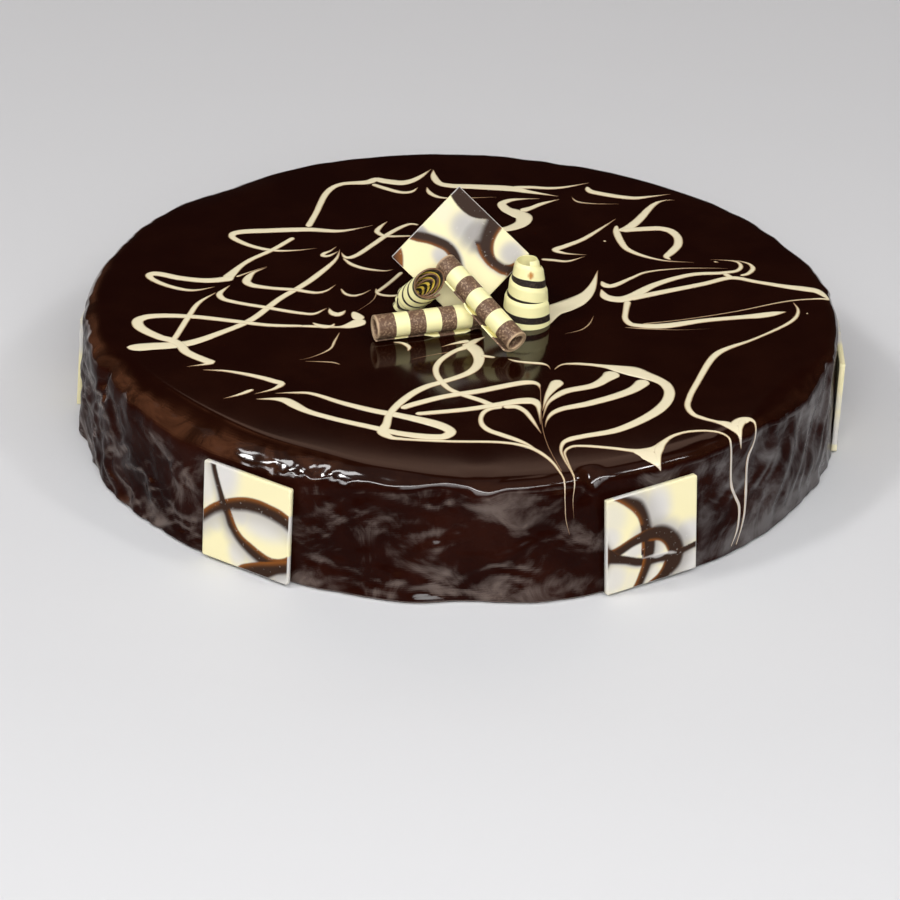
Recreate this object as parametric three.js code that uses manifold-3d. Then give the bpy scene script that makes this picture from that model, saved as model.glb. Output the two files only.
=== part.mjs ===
// A round mud cake under poured dark chocolate, with thin squares of marbled chocolate
// pressed round its side and a group of chocolate shapes standing on its top.
// Millimetres, +Z up, the front of the cake towards -Y, the origin under its middle.
import * as THREE from "three";
import { mergeVertices } from "three/addons/utils/BufferGeometryUtils.js";
import Module from "manifold-3d";

const wasm = await Module();
wasm.setup();

// The cake: a 10 inch round, about as tall as a low cake tin
const CAKE_RADIUS = 127;
const CAKE_HEIGHT = 42;
const SIDE_TAPER = 1.6; // how far the side leans in from foot to crest
const FOOT_FLARE = 0.9; // where the glaze ran down and set
const FOOT_HEIGHT = 1.2;
const FOOT_CHAMFER = 1.2;

// The glaze over the shoulder: how far in from the side and down from the top it rounds.
// Degrees run round the cake from the front, positive towards +X.
const SHOULDER = { run: 5.2, drop: 3.4 };
const SHOULDER_SWELLS = [
  { at: -47, width: 27, run: 6.5, drop: 4.4 },
  { at: -96, width: 22, run: 3, drop: 2.4 },
  { at: 1, width: 15, run: -2.6, drop: -1.9 },
  { at: 150, width: 30, run: 2, drop: 1.2 },
];
const CREST_DIPS = [
  { at: 3, width: 2.6, depth: 2.2 },
  { at: 19, width: 4, depth: 1.4 },
  { at: 62, width: 7, depth: 0.8 },
];

// Lumps left in the glaze on the side by the spatula
const LUMP_DEPTH = 0.85;
const LUMP_CELLS_ROUND = 50;
const LUMP_CELL_HEIGHT = 13;
const LUMP_SLANT = 0.35; // cells slide round by this share of a cell for each cell of height

// Fineness of the cake's skin
const STEPS_ROUND = 168;
const SIDE_ROWS = 11;
const SHOULDER_ROWS = 4;
const TOP_RINGS = 4;

// Thin chocolate squares: pressed into the side, and one standing on the top
const TILE_SIZE = 34;
const TILE_THICKNESS = 2.4;
const TILE_CORNER = 0.9;
const TILE_EDGE = 0.25;
const TILE_FACE_RADIUS = 129; // from the cake's axis to the middle of a tile's outer face
const PRESS_GAP = 0.3;
// at: degrees round the cake. lean: top edge in. twist: turned in its own plane. yaw: one side out.
// sunk: pressed in further than the rest.
const SIDE_TILES = [
  { name: "side_tile_front_left", at: -30.1, height: 17.9, lean: 5.8, twist: -1.6, yaw: -0.9 },
  { name: "side_tile_front_right", at: 28.4, height: 18.1, lean: 4.8, twist: 0.4, yaw: -0.7 },
  { name: "side_tile_right", at: 83, height: 17.8, lean: 3.5, twist: -1, yaw: -3 },
  { name: "side_tile_back_right", at: 145, height: 18, lean: 4.5, twist: 1.2, yaw: 0.5 },
  { name: "side_tile_back_left", at: 206, height: 18, lean: 5, twist: -0.8, yaw: -0.5 },
  { name: "side_tile_left", at: -96, height: 17.9, lean: 4, twist: 1, yaw: 1, sunk: 0.8 },
];
const PLAQUE_SIZE = 32.4;
const PLAQUE = { corner: [0.6, -12.1, 39.8], yaw: 4, lean: 22, roll: -0.9 };

// Rolled chocolate sheet. A lip is how far the outer edge of a sheet has sprung away.
const SHEET = 0.9;
const STEPS_PER_TURN = 24;
const LIP_TURNS = 0.24;
const PENCIL_RADIUS = 4.6;
const PENCIL_PITCH = 1.15;
const PENCIL_TURNS = 1.75;
const PENCILS = [
  { name: "pencil_lying", from: [-27.7, -31.7, 47.5], to: [2.2, -21.7, 47.5], turn: 120, lip: 0.7 },
  { name: "pencil_leaning", from: [18.6, -39.2, 47.75], to: [-5.2, -11.1, 62.1], turn: 222, lip: 1.2 },
];
// A curl is a rolled ribbon whose turns have slid along its axis
const CONE = {
  foot: [22.4, -12.2, 42.3], height: 22.8, band: 10, firstFall: 1.85, fall: 5.3,
  innerRadius: 3.1, pitch: 1.3, turns: 3.17, turn: -80,
};
const SCROLL = {
  tip: [-20.4, -10.6, 44.8], mouth: [-9.9, -19, 58.4], slide: 3.2, band: 12, slant: 2.8, slantAt: 0,
  innerRadius: 1.1, pitch: 1.32, turns: 2.8, turn: 40,
};

const DARK_GLAZE = new THREE.MeshStandardMaterial({ color: 0x22110d, roughness: 0.15, metalness: 0 });
const MARBLED = new THREE.MeshStandardMaterial({ color: 0xd8c9a6, roughness: 0.4, metalness: 0 });
const STRIPED = new THREE.MeshStandardMaterial({ color: 0xd9c79a, roughness: 0.5, metalness: 0 });

const TAU = 2 * Math.PI;
const rad = THREE.MathUtils.degToRad;

// A closed solid from a geometry's corners, with matching corners joined
function solidOf(geometry, matrix) {
  const bare = new THREE.BufferGeometry();
  bare.setAttribute("position", geometry.getAttribute("position").clone());
  if (geometry.index) bare.setIndex(geometry.index.clone());
  if (matrix) bare.applyMatrix4(matrix);
  const welded = mergeVertices(bare, 1e-4);
  const triangles = [];
  for (let k = 0; k < welded.index.count; k += 3) {
    const [a, b, c] = [0, 1, 2].map((step) => welded.index.getX(k + step));
    if (a !== b && b !== c && c !== a) triangles.push(a, b, c);
  }
  return new wasm.Manifold(new wasm.Mesh({
    numProp: 3,
    vertProperties: new Float32Array(welded.getAttribute("position").array),
    triVerts: new Uint32Array(triangles),
  }));
}

function geometryOf(solid) {
  const mesh = solid.getMesh();
  const geometry = new THREE.BufferGeometry();
  geometry.setAttribute("position", new THREE.BufferAttribute(mesh.vertProperties, 3));
  geometry.setIndex(new THREE.BufferAttribute(mesh.triVerts, 1));
  geometry.computeVertexNormals();
  return geometry;
}

// How strongly a feature at one bearing is felt at another: 1 there, fading to 0 over its width
function nearness(bearing, { at, width }) {
  const away = THREE.MathUtils.euclideanModulo(bearing - at + 180, 360) - 180;
  return Math.exp(-((away / width) ** 2));
}

// A fixed scatter of values from -1 to 1, one for each cell
function scatter(column, row) {
  const wave = Math.sin(column * 127.1 + row * 311.7) * 43758.5453;
  return 2 * (wave - Math.floor(wave)) - 1;
}

// Soft lumps: the scattered values eased from cell to cell, meeting themselves round the cake
function lumps(bearing, z) {
  const row = z / LUMP_CELL_HEIGHT;
  const column = (bearing / 360) * LUMP_CELLS_ROUND + LUMP_SLANT * row;
  const [j, i] = [Math.floor(row), Math.floor(column)];
  const ease = (t) => t * t * (3 - 2 * t);
  const at = (di, dj) => scatter(THREE.MathUtils.euclideanModulo(i + di, LUMP_CELLS_ROUND), j + dj);
  const [u, v] = [ease(column - i), ease(row - j)];
  const low = THREE.MathUtils.lerp(at(0, 0), at(1, 0), u);
  const high = THREE.MathUtils.lerp(at(0, 1), at(1, 1), u);
  return THREE.MathUtils.lerp(low, high, v);
}

function shoulderAt(bearing) {
  const shoulder = { ...SHOULDER };
  for (const swell of SHOULDER_SWELLS) {
    shoulder.run += swell.run * nearness(bearing, swell);
    shoulder.drop += swell.drop * nearness(bearing, swell);
  }
  for (const dip of CREST_DIPS) shoulder.drop += dip.depth * nearness(bearing, dip);
  return shoulder;
}

function sideRadius(bearing, z) {
  const up = z / CAKE_HEIGHT;
  const flare = FOOT_FLARE * Math.exp(-z / 2.5);
  return CAKE_RADIUS + SIDE_TAPER * (0.5 - up) + flare + LUMP_DEPTH * lumps(bearing, z);
}

// The cake's outline at one bearing, from the middle of its foot to the middle of its top
function outlineAt(bearing) {
  const { run, drop } = shoulderAt(bearing);
  const crest = CAKE_HEIGHT - drop;
  const foot = sideRadius(bearing, FOOT_HEIGHT);
  const outline = [new THREE.Vector2(0, 0), new THREE.Vector2(foot - FOOT_CHAMFER, 0)];
  for (let k = 0; k <= SIDE_ROWS; k++) {
    const z = THREE.MathUtils.lerp(FOOT_HEIGHT, crest, k / SIDE_ROWS);
    outline.push(new THREE.Vector2(sideRadius(bearing, z), z));
  }
  const lip = sideRadius(bearing, crest);
  const plateau = CAKE_RADIUS - run;
  for (let k = 1; k <= SHOULDER_ROWS; k++) {
    const turn = (k / SHOULDER_ROWS) * (Math.PI / 2);
    const r = THREE.MathUtils.lerp(plateau, lip, Math.cos(turn));
    outline.push(new THREE.Vector2(r, crest + drop * Math.sin(turn)));
  }
  for (let k = 1; k <= TOP_RINGS; k++) {
    outline.push(new THREE.Vector2(plateau * (1 - k / TOP_RINGS), CAKE_HEIGHT));
  }
  return outline;
}

// The plain round cake, then each of its corners moved to the outline at its own bearing
function cakeSolid() {
  const rows = outlineAt(0).length;
  const geometry = new THREE.LatheGeometry(outlineAt(0), STEPS_ROUND);
  geometry.rotateX(Math.PI / 2);
  const corners = geometry.getAttribute("position");
  for (let step = 0; step <= STEPS_ROUND; step++) {
    const bearing = ((step % STEPS_ROUND) / STEPS_ROUND) * 360;
    outlineAt(bearing).forEach(({ x: r, y: z }, row) => {
      const [across, along] = [r * Math.sin(rad(bearing)), -r * Math.cos(rad(bearing))];
      corners.setXYZ(step * rows + row, across, along, z);
    });
  }
  return solidOf(geometry);
}

// A square of chocolate, its middle at the origin, its face towards -Y
function squareSlab(size, thickness) {
  const half = size / 2 - TILE_EDGE;
  const inner = half - TILE_CORNER;
  const outline = new THREE.Shape();
  for (let k = 0; k < 4; k++) {
    const [x, y] = [[1, 1], [-1, 1], [-1, -1], [1, -1]][k];
    outline.absarc(x * inner, y * inner, TILE_CORNER, (k * Math.PI) / 2, ((k + 1) * Math.PI) / 2);
  }
  const geometry = new THREE.ExtrudeGeometry(outline, {
    depth: thickness - 2 * TILE_EDGE, curveSegments: 2,
    bevelThickness: TILE_EDGE, bevelSize: TILE_EDGE, bevelSegments: 1,
  });
  geometry.translate(0, 0, TILE_EDGE - thickness / 2);
  return geometry.rotateX(Math.PI / 2);
}

// A rolled sheet standing on its end: a spiral band, its turns set out by the pitch
function rolledSheet({ innerRadius, pitch, turns, lip = 0 }, length) {
  const steps = Math.round(turns * STEPS_PER_TURN);
  const edge = (offset) => Array.from({ length: steps + 1 }, (_, k) => {
    const turn = k / STEPS_PER_TURN;
    const sprung = THREE.MathUtils.clamp((turn - turns + LIP_TURNS) / LIP_TURNS, 0, 1);
    const r = innerRadius + pitch * turn + lip * sprung ** 2 + offset;
    return new THREE.Vector2(r * Math.cos(turn * TAU), r * Math.sin(turn * TAU));
  });
  const outline = new THREE.Shape([...edge(SHEET), ...edge(0).reverse()]);
  return new THREE.ExtrudeGeometry(outline, { depth: length, bevelEnabled: false });
}

// Slide the turns of a rolled sheet along its axis: its two edges' heights follow the turn
function slideTurns(curl, edges) {
  const geometry = rolledSheet(curl, 1);
  const corners = geometry.getAttribute("position");
  for (let k = 0; k < corners.count; k++) {
    const [x, y] = [corners.getX(k), corners.getY(k)];
    const part = THREE.MathUtils.euclideanModulo(Math.atan2(y, x) + 1e-6, TAU) / TAU;
    const whole = Math.round((Math.hypot(x, y) - curl.innerRadius - SHEET / 2) / curl.pitch - part);
    const [low, high] = edges(whole + part);
    corners.setZ(k, THREE.MathUtils.lerp(low, high, corners.getZ(k)));
  }
  return geometry;
}

// The standing curl: its turns step down and out, and the lowest stands on the cake
function coneCurl(curl) {
  return slideTurns(curl, (turn) => {
    const fallen = curl.firstFall * Math.min(turn, 1) + curl.fall * Math.max(turn - 1, 0);
    return [Math.max(0, curl.height - fallen - curl.band), curl.height - fallen];
  });
}

// The lying curl: its turns slide out from the tip, and its mouth is cut on the slant
function scrollCurl(curl, length) {
  return slideTurns(curl, (turn) => {
    const back = curl.slide * (curl.turns - turn);
    const slant = curl.slant * Math.cos((turn - curl.slantAt) * TAU);
    return [Math.max(0, length - back - curl.band), length - back * 0.5 + slant];
  });
}

// Point a piece's own +Z along a direction, turned about it
function pointAlong(object, direction, turn) {
  const along = direction.clone().normalize();
  object.quaternion.setFromUnitVectors(new THREE.Vector3(0, 0, 1), along);
  object.rotateZ(rad(turn));
}

function named(name, geometry, material) {
  const mesh = new THREE.Mesh(geometry, material);
  mesh.name = name;
  return mesh;
}

// The squares round the side, each in a holder turned to its bearing
const sideTiles = new THREE.Group();
for (const { name, at, height, lean, twist, yaw, sunk = 0 } of SIDE_TILES) {
  const tile = named(name, squareSlab(TILE_SIZE, TILE_THICKNESS), MARBLED);
  const holder = new THREE.Group();
  holder.rotation.z = rad(at);
  tile.rotation.order = "ZXY";
  tile.rotation.set(-rad(lean), rad(twist), rad(yaw));
  tile.position.set(0, -TILE_FACE_RADIUS + sunk + TILE_THICKNESS / 2, height);
  holder.add(tile);
  sideTiles.add(holder);
}

// The square standing on one corner, leaning back
const plaque = named("plaque", squareSlab(PLAQUE_SIZE, TILE_THICKNESS), MARBLED);
plaque.geometry.rotateY(Math.PI / 4);
plaque.geometry.translate(0, 0, PLAQUE_SIZE / Math.SQRT2);
plaque.rotation.order = "ZXY";
plaque.rotation.set(-rad(PLAQUE.lean), rad(PLAQUE.roll), rad(PLAQUE.yaw));
plaque.position.set(...PLAQUE.corner);

// The rolls and curls
const rolls = new THREE.Group();
for (const { name, from, to, turn, lip } of PENCILS) {
  const [start, end] = [new THREE.Vector3(...from), new THREE.Vector3(...to)];
  const innerRadius = PENCIL_RADIUS - SHEET - PENCIL_PITCH * PENCIL_TURNS;
  const roll = { innerRadius, pitch: PENCIL_PITCH, turns: PENCIL_TURNS, lip };
  const pencil = named(name, rolledSheet(roll, start.distanceTo(end)), STRIPED);
  pointAlong(pencil, end.clone().sub(start), turn);
  pencil.position.copy(start);
  rolls.add(pencil);
}
const cone = named("cone_curl", coneCurl(CONE), STRIPED);
cone.rotation.z = rad(CONE.turn);
cone.position.set(...CONE.foot);
const [tip, mouth] = [new THREE.Vector3(...SCROLL.tip), new THREE.Vector3(...SCROLL.mouth)];
const scroll = named("scroll_curl", scrollCurl(SCROLL, tip.distanceTo(mouth)), STRIPED);
pointAlong(scroll, mouth.clone().sub(tip), SCROLL.turn);
scroll.position.copy(tip);
rolls.add(cone, scroll);

// The cake, with a pocket in its glaze for each square pressed into it
function pocketFor(mesh) {
  const size = mesh === plaque ? PLAQUE_SIZE : TILE_SIZE;
  const loose = squareSlab(size + 2 * PRESS_GAP, TILE_THICKNESS + 2 * PRESS_GAP);
  if (mesh === plaque) {
    loose.rotateY(Math.PI / 4);
    loose.translate(0, 0, PLAQUE_SIZE / Math.SQRT2);
  }
  mesh.updateWorldMatrix(true, false);
  return solidOf(loose, mesh.matrixWorld);
}

const pressed = [plaque];
sideTiles.traverse((object) => { if (object.isMesh) pressed.push(object); });
let body = cakeSolid();
for (const mesh of pressed) body = body.subtract(pocketFor(mesh));
const cake = named("cake", geometryOf(body), DARK_GLAZE);

const mudCake = new THREE.Group();
mudCake.name = "marble_mud_cake";
mudCake.add(cake, sideTiles, plaque, rolls);

export default mudCake;
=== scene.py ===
# %% [markdown]
# A marble mud cake, dressed in Blender.
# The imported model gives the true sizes: a round cake, six chocolate squares pressed into its side, and
# a plaque, two pencils and two curls on its top. This lesson rebuilds each of them finely enough for a
# close view, in the same place, and adds what a plain solid can't hold: wrinkles in the glaze, white
# chocolate feathered into it, and the marbling of the squares.

# %% Load the frame
import math

import bpy
import numpy as np
from mathutils import Euler, Matrix, Vector
from mathutils.bvhtree import BVHTree


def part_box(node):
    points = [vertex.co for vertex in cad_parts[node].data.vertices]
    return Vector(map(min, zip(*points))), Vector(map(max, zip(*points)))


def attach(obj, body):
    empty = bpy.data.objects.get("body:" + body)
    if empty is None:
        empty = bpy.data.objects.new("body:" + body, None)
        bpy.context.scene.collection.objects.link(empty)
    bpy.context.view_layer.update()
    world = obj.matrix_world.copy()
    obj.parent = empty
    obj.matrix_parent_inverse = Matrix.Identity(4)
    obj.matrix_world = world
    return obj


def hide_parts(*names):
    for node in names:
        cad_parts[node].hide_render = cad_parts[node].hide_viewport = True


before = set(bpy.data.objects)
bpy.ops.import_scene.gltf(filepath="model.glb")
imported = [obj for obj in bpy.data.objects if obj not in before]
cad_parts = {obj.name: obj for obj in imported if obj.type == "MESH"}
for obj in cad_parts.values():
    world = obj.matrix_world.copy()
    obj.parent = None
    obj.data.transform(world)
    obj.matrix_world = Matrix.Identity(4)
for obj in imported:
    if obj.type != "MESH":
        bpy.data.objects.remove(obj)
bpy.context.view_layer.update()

MM = 0.001

# %% [markdown]
# The camera stands in front of the cake and looks down on it, a little tilted to one side. It comes
# first, because the feathering is laid where it is seen: a point of the picture is followed along its
# line of sight until it meets the glaze. Sizes are in millimetres, and turn into metres only when an
# object is made.

# %% Camera
PICTURE = 900
SENSOR = 36.0
FOCAL_PIXELS = 3499.0
CAMERA_DISTANCE = 1200.0
CAMERA_ELEVATION = 27.84
CAMERA_ROLL = 1.36
CAMERA_AIM = Vector((-2.0, 0.0, -14.6))


def turned(right, up, degrees):
    """Two axes of the picture, rolled by some degrees."""
    c, s = math.cos(math.radians(degrees)), math.sin(math.radians(degrees))
    return right * c + up * s, up * c - right * s


elevation = math.radians(CAMERA_ELEVATION)
eye = CAMERA_DISTANCE * Vector((0, -math.cos(elevation), math.sin(elevation)))
ahead = (CAMERA_AIM - eye).normalized()
level = ahead.cross(Vector((0, 0, 1))).normalized()
right, up = turned(level, level.cross(ahead), CAMERA_ROLL)

camera_data = bpy.data.cameras.new("camera")
camera_data.sensor_width = SENSOR
camera_data.lens = FOCAL_PIXELS * SENSOR / PICTURE
camera = bpy.data.objects.new("camera", camera_data)
axes = Matrix((right, up, -ahead)).transposed().to_4x4()
camera.matrix_world = Matrix.Translation(eye * MM) @ axes
bpy.context.scene.collection.objects.link(camera)
bpy.context.scene.camera = camera


def line_of_sight(x, y):
    """The direction in which the camera sees a pixel of the picture."""
    across, down = (x - PICTURE / 2) / FOCAL_PIXELS, (y - PICTURE / 2) / FOCAL_PIXELS
    return (ahead + right * across - up * down).normalized()


print("camera at", [round(v) for v in eye], "mm with a", round(camera_data.lens), "mm lens")

# %% [markdown]
# A studio for dark glossy food. The level top mirrors the air low behind the cake, so that is kept dark.
# A long strip light draws a bright line along the front crest, a broad fill beside the camera shows the
# side, and two small lights left and right brighten the shoulders. A faint light overhead and a dim warm
# wall behind show only where the glaze sags towards its edge. Two low lights lift the floor behind: the
# glaze would mirror them as hard squares, so they are hidden from mirrored rays. Two spark lights do the
# reverse: only mirrored rays see them, and they make the sparkle on the wrinkled shoulder. A bright sky
# would be simpler, but would grey the top.

# %% Light and air
AIR_COLOUR = (0.010, 0.010, 0.011, 1)
LIGHT_DISTANCE = 1700.0
NEUTRAL = (1.0, 1.0, 1.0)
WARM = (1.0, 0.64, 0.475)
# name: bearing from the front, height above the horizon, width, height, watts, colour
LIGHTS = {
    "strip": (0, 48, 2400, 120, 18.5, NEUTRAL),
    "fill": (4, 31, 1200, 700, 14.5, NEUTRAL),
    "left": (-66, 52, 250, 250, 8.0, NEUTRAL),
    "right": (68, 50, 200, 200, 4.0, NEUTRAL),
    "warm wall": (180, 44.5, 640, 600, 1.05, WARM),
    "overhead": (0, 86, 2000, 2000, 1.5, NEUTRAL),
    "back left": (-140, 16, 900, 500, 5.5, NEUTRAL),
    "back right": (140, 16, 900, 500, 5.5, NEUTRAL),
    "spark high": (-84, 64, 320, 320, 4.5, NEUTRAL),
    "spark low": (-50, 30, 320, 320, 3.5, NEUTRAL),
}
NOT_MIRRORED = ("back left", "back right")
ONLY_MIRRORED = ("spark high", "spark low")


def on_sphere(bearing, height, distance):
    """A place at a bearing from the front and a height above the horizon, both in degrees."""
    b, h = math.radians(bearing), math.radians(height)
    return distance * Vector((math.sin(b) * math.cos(h), -math.cos(b) * math.cos(h), math.sin(h)))


for name, (bearing, height, wide, tall, watts, colour) in LIGHTS.items():
    lamp = bpy.data.lights.new(name, "AREA")
    lamp.shape = "RECTANGLE"
    lamp.size, lamp.size_y = wide * MM, tall * MM
    lamp.energy = watts
    lamp.color = colour
    lamp_object = bpy.data.objects.new(name, lamp)
    place = on_sphere(bearing, height, LIGHT_DISTANCE)
    lamp_object.location = place * MM
    lamp_object.rotation_euler = (-place).to_track_quat("-Z", "Y").to_euler()
    lamp_object.visible_glossy = name not in NOT_MIRRORED
    lamp_object.visible_diffuse = name not in ONLY_MIRRORED
    bpy.context.scene.collection.objects.link(lamp_object)

air = bpy.data.worlds.new("air")
air.use_nodes = True
air.node_tree.nodes["Background"].inputs["Color"].default_value = AIR_COLOUR
bpy.context.scene.world = air
bpy.context.scene.view_settings.view_transform = "Standard"
print(len(LIGHTS), "soft lights")

# %% [markdown]
# Finishes are made of shader nodes. They could be joined by hand in the node editor. In a script, a few
# small helpers keep that short: one makes a node, sets its values and joins its inputs to other nodes,
# and three stand for common ones, a sum, an eased step and a mix of two colours.

# %% Helpers for nodes
def add(tree, kind, inputs=(), **settings):
    """A shader node. An input is a plain value, or the output of another node to join to it."""
    node = tree.nodes.new("ShaderNode" + kind)
    for key, value in settings.items():
        setattr(node, key, value)
    for key, value in dict(inputs).items():
        if isinstance(value, bpy.types.NodeSocket):
            tree.links.new(value, node.inputs[key])
        else:
            node.inputs[key].default_value = value
    return node


def finish_named(name):
    """A new material, its node tree and its shader."""
    material = bpy.data.materials.new(name)
    material.use_nodes = True
    return material, material.node_tree, material.node_tree.nodes["Principled BSDF"]


def math_of(tree, operation, *values):
    """A sum, product or the like of values and outputs."""
    return add(tree, "Math", enumerate(values), operation=operation).outputs[0]


def eased(tree, value, start, end, low=0.0, high=1.0):
    """The value taken from start..end to low..high, easing at both ends."""
    inputs = {"Value": value, "From Min": start, "From Max": end, "To Min": low, "To Max": high}
    return add(tree, "MapRange", inputs, interpolation_type="SMOOTHSTEP").outputs["Result"]


def mixed(tree, share, first, second):
    """A colour between two: the first where the share is 0, the second where it is 1."""
    node = add(tree, "Mix", data_type="RGBA")
    for socket, value in ((0, share), (6, first), (7, second)):
        if isinstance(value, bpy.types.NodeSocket):
            tree.links.new(value, node.inputs[socket])
        else:
            node.inputs[socket].default_value = value
    return node.outputs[2]


print("node helpers: add, finish_named, math_of, eased, mixed")

# %% [markdown]
# One more helper turns points and faces into a smooth mesh object, with points in millimetres, and another
# stores a value at each of its points for a finish to read. The plain pale floor is their first use: one
# large face, not part of the cake. A little cloudiness keeps it from looking like a screen.

# %% Floor
FLOOR_SIZE = 6000.0
FLOOR_COLOURS = ((0.66, 0.66, 0.67, 1), (0.63, 0.63, 0.645, 1))
FLOOR_ROUGHNESS = 0.6


def mesh_object(name, points, faces, material):
    """A mesh object from points in millimetres."""
    mesh = bpy.data.meshes.new(name)
    mesh.from_pydata((np.asarray(points) * MM).tolist(), [], faces)
    mesh.materials.append(material)
    mesh.polygons.foreach_set("use_smooth", [True] * len(mesh.polygons))
    made = bpy.data.objects.new(name, mesh)
    bpy.context.scene.collection.objects.link(made)
    return made


def store(piece, key, values):
    """Keeps one value at each point of a piece, under a name."""
    piece.data.attributes.new(key, "FLOAT", "POINT").data.foreach_set("value", values)


floor_finish, tree, shader = finish_named("pale_floor")
cloudy = add(tree, "TexNoise", {"Scale": 3.0, "Detail": 4.0})
pale = mixed(tree, cloudy.outputs["Fac"], *FLOOR_COLOURS)
tree.links.new(pale, shader.inputs["Base Color"])
shader.inputs["Roughness"].default_value = FLOOR_ROUGHNESS
half = FLOOR_SIZE / 2
floor_corners = [(-half, -half, 0), (half, -half, 0), (half, half, 0), (-half, half, 0)]
floor = mesh_object("floor", floor_corners, [(0, 1, 2, 3)], floor_finish)
print("floor", FLOOR_SIZE / 1000, "m across")

# %% [markdown]
# The cake's outline repeats the one of the solid: a side that leans in slightly, a foot where the glaze
# ran down, and a shoulder rounded by a different amount at each bearing, with a few notches in its crest.
# The wall is fuller at the right, leans in at the front, and carries one run of glaze that slid over the
# edge there. Bearings are degrees round the cake from its front. A lathe would give one outline all
# round, so the outline is a function of bearing.

# %% The cake's outline
CAKE_RADIUS = 127.0
CAKE_HEIGHT = 42.4
SIDE_TAPER = 1.6
FOOT_FLARE = 0.9
FOOT_FLARE_HEIGHT = 2.5
FOOT_HEIGHT = 1.2
FOOT_CHAMFER = 1.2
SHOULDER_RUN = 5.2
SHOULDER_DROP = 3.4
# at, width, run, drop
SHOULDER_SWELLS = [(-47, 27, 6.5, 4.4), (-21, 8, 1.6, 2.6), (-96, 22, 3, 2.4), (1, 15, -2.6, -1.7),
                   (150, 30, 2, 1.2)]
# at, width, depth, reach into the top
NOTCHES = [(3.4, 2.6, 1.3, 9), (20, 1.3, 0.9, 3), (-8, 4, 0.3, 5), (62, 7, 0.8, 6),
           (-138, 11, 0.9, 9)]
# at, width, how far the wall stands out there
BULGE = (92, 26, 1.3)
# at, width, how far the wall leans in at its top
FRONT_LEAN = (0, 32, 1.8)
# at, width, how far glaze that ran over stands out at the top, and the height it ran down to
RUN_OVER = (3.4, 2.8, 2.6, 24.0)
RUN_OVER_CURVE = 1.5
# steepness of a bump with a blunt top
BLUNT = 2.6


def nearness(bearing, at, width, steepness=2):
    """1 at one bearing, fading to 0 over a width."""
    away = (bearing - at + 180) % 360 - 180
    return np.exp(-np.abs(away / width) ** steepness)


def shoulder_at(bearing):
    """How far in and how far down the shoulder is rounded."""
    run, drop = SHOULDER_RUN, SHOULDER_DROP
    for at, width, more_run, more_drop in SHOULDER_SWELLS:
        run = run + more_run * nearness(bearing, at, width)
        drop = drop + more_drop * nearness(bearing, at, width)
    return run, drop


def wall_shift(bearing, z):
    """How far the wall stands out of a true round."""
    *bulge_where, bulge = BULGE
    *lean_where, lean = FRONT_LEAN
    run_at, run_width, run_out, run_foot = RUN_OVER
    run_over = run_out * np.clip((z - run_foot) / (CAKE_HEIGHT - run_foot), 0, 1) ** RUN_OVER_CURVE
    run_over = run_over * nearness(bearing, run_at, run_width, BLUNT)
    shift = bulge * nearness(bearing, *bulge_where) + run_over
    return shift - lean * nearness(bearing, *lean_where) * (z / CAKE_HEIGHT) ** 2


print("shoulder at the front, run and drop:", [round(float(v), 1) for v in shoulder_at(0.0)])

# %% [markdown]
# A spatula leaves the glaze lumpy. Each layer of lumps is a fixed scatter of values on a grid that
# meets itself round the cake, eased from cell to cell. The broad layer is the one in the solid. Finer
# layers lie over it where the real glaze shows them: small wrinkles on the left, level smears at the
# front and slanting runs on the right. They are real shape and not bump, so that the edge shows them.

# %% Lumps in the glaze
# depth, cells round, cell height, slant, and where: bearing and width, or None for all round
BROAD_LUMPS = (0.85, 50, 13.0, 0.35, None)
FINE_LUMPS = [
    (1.00, 120, 7.0, 0.6, (-78, 46)),
    (0.60, 200, 4.2, -0.8, (-72, 45)),
    (0.26, 330, 2.4, 0.5, (-75, 50)),
    (1.20, 62, 9.0, 1.0, (0, 36)),
    (0.58, 116, 5.0, -0.9, (0, 40)),
    (0.22, 180, 2.4, 0.4, (0, 40)),
    (0.90, 128, 22.0, -2.2, (80, 40)),
    (0.40, 230, 12.0, -1.2, (75, 40)),
    (0.80, 112, 8.0, 0.7, (180, 75)),
    (0.30, 220, 4.0, -0.6, (180, 80)),
]
SCATTER_BY_COLUMN = 127.1
SCATTER_BY_ROW = 311.7
SCATTER_WIDE = 43758.5453


def scatter(column, row):
    """A fixed scatter of values from -1 to 1, one for each cell."""
    wave = np.sin(column * SCATTER_BY_COLUMN + row * SCATTER_BY_ROW) * SCATTER_WIDE
    return 2 * (wave - np.floor(wave)) - 1


def lumps(bearing, z, layer):
    """How far one layer of lumps lifts the glaze."""
    depth, cells_round, cell_height, slant, where = layer
    row = z / cell_height
    column = bearing / 360 * cells_round + slant * row
    i, j = np.floor(column), np.floor(row)
    u, v = column - i, row - j
    u, v = u * u * (3 - 2 * u), v * v * (3 - 2 * v)
    left, beside = i % cells_round, (i + 1) % cells_round
    low = scatter(left, j) * (1 - u) + scatter(beside, j) * u
    high = scatter(left, j + 1) * (1 - u) + scatter(beside, j + 1) * u
    strength = depth if where is None else depth * nearness(bearing, *where)
    return strength * (low * (1 - v) + high * v)


print(1 + len(FINE_LUMPS), "layers of lumps")

# %% [markdown]
# The side adds the layers up, bent a little by two more so that no grid shows. Where a square was pressed
# on, the glaze is flattened and pushed back behind the square's face. A dent near the left looks like a
# broken bubble. A boolean cut could make room for the squares, but would leave hard edges in soft glaze.

# %% The lumpy side
LUMP_LIMIT = 1.5
WARP_ROUND = (2.2, 44, 9.0, -0.4, None)
WARP_UP = (2.4, 40, 11.0, 0.5, None)
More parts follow.
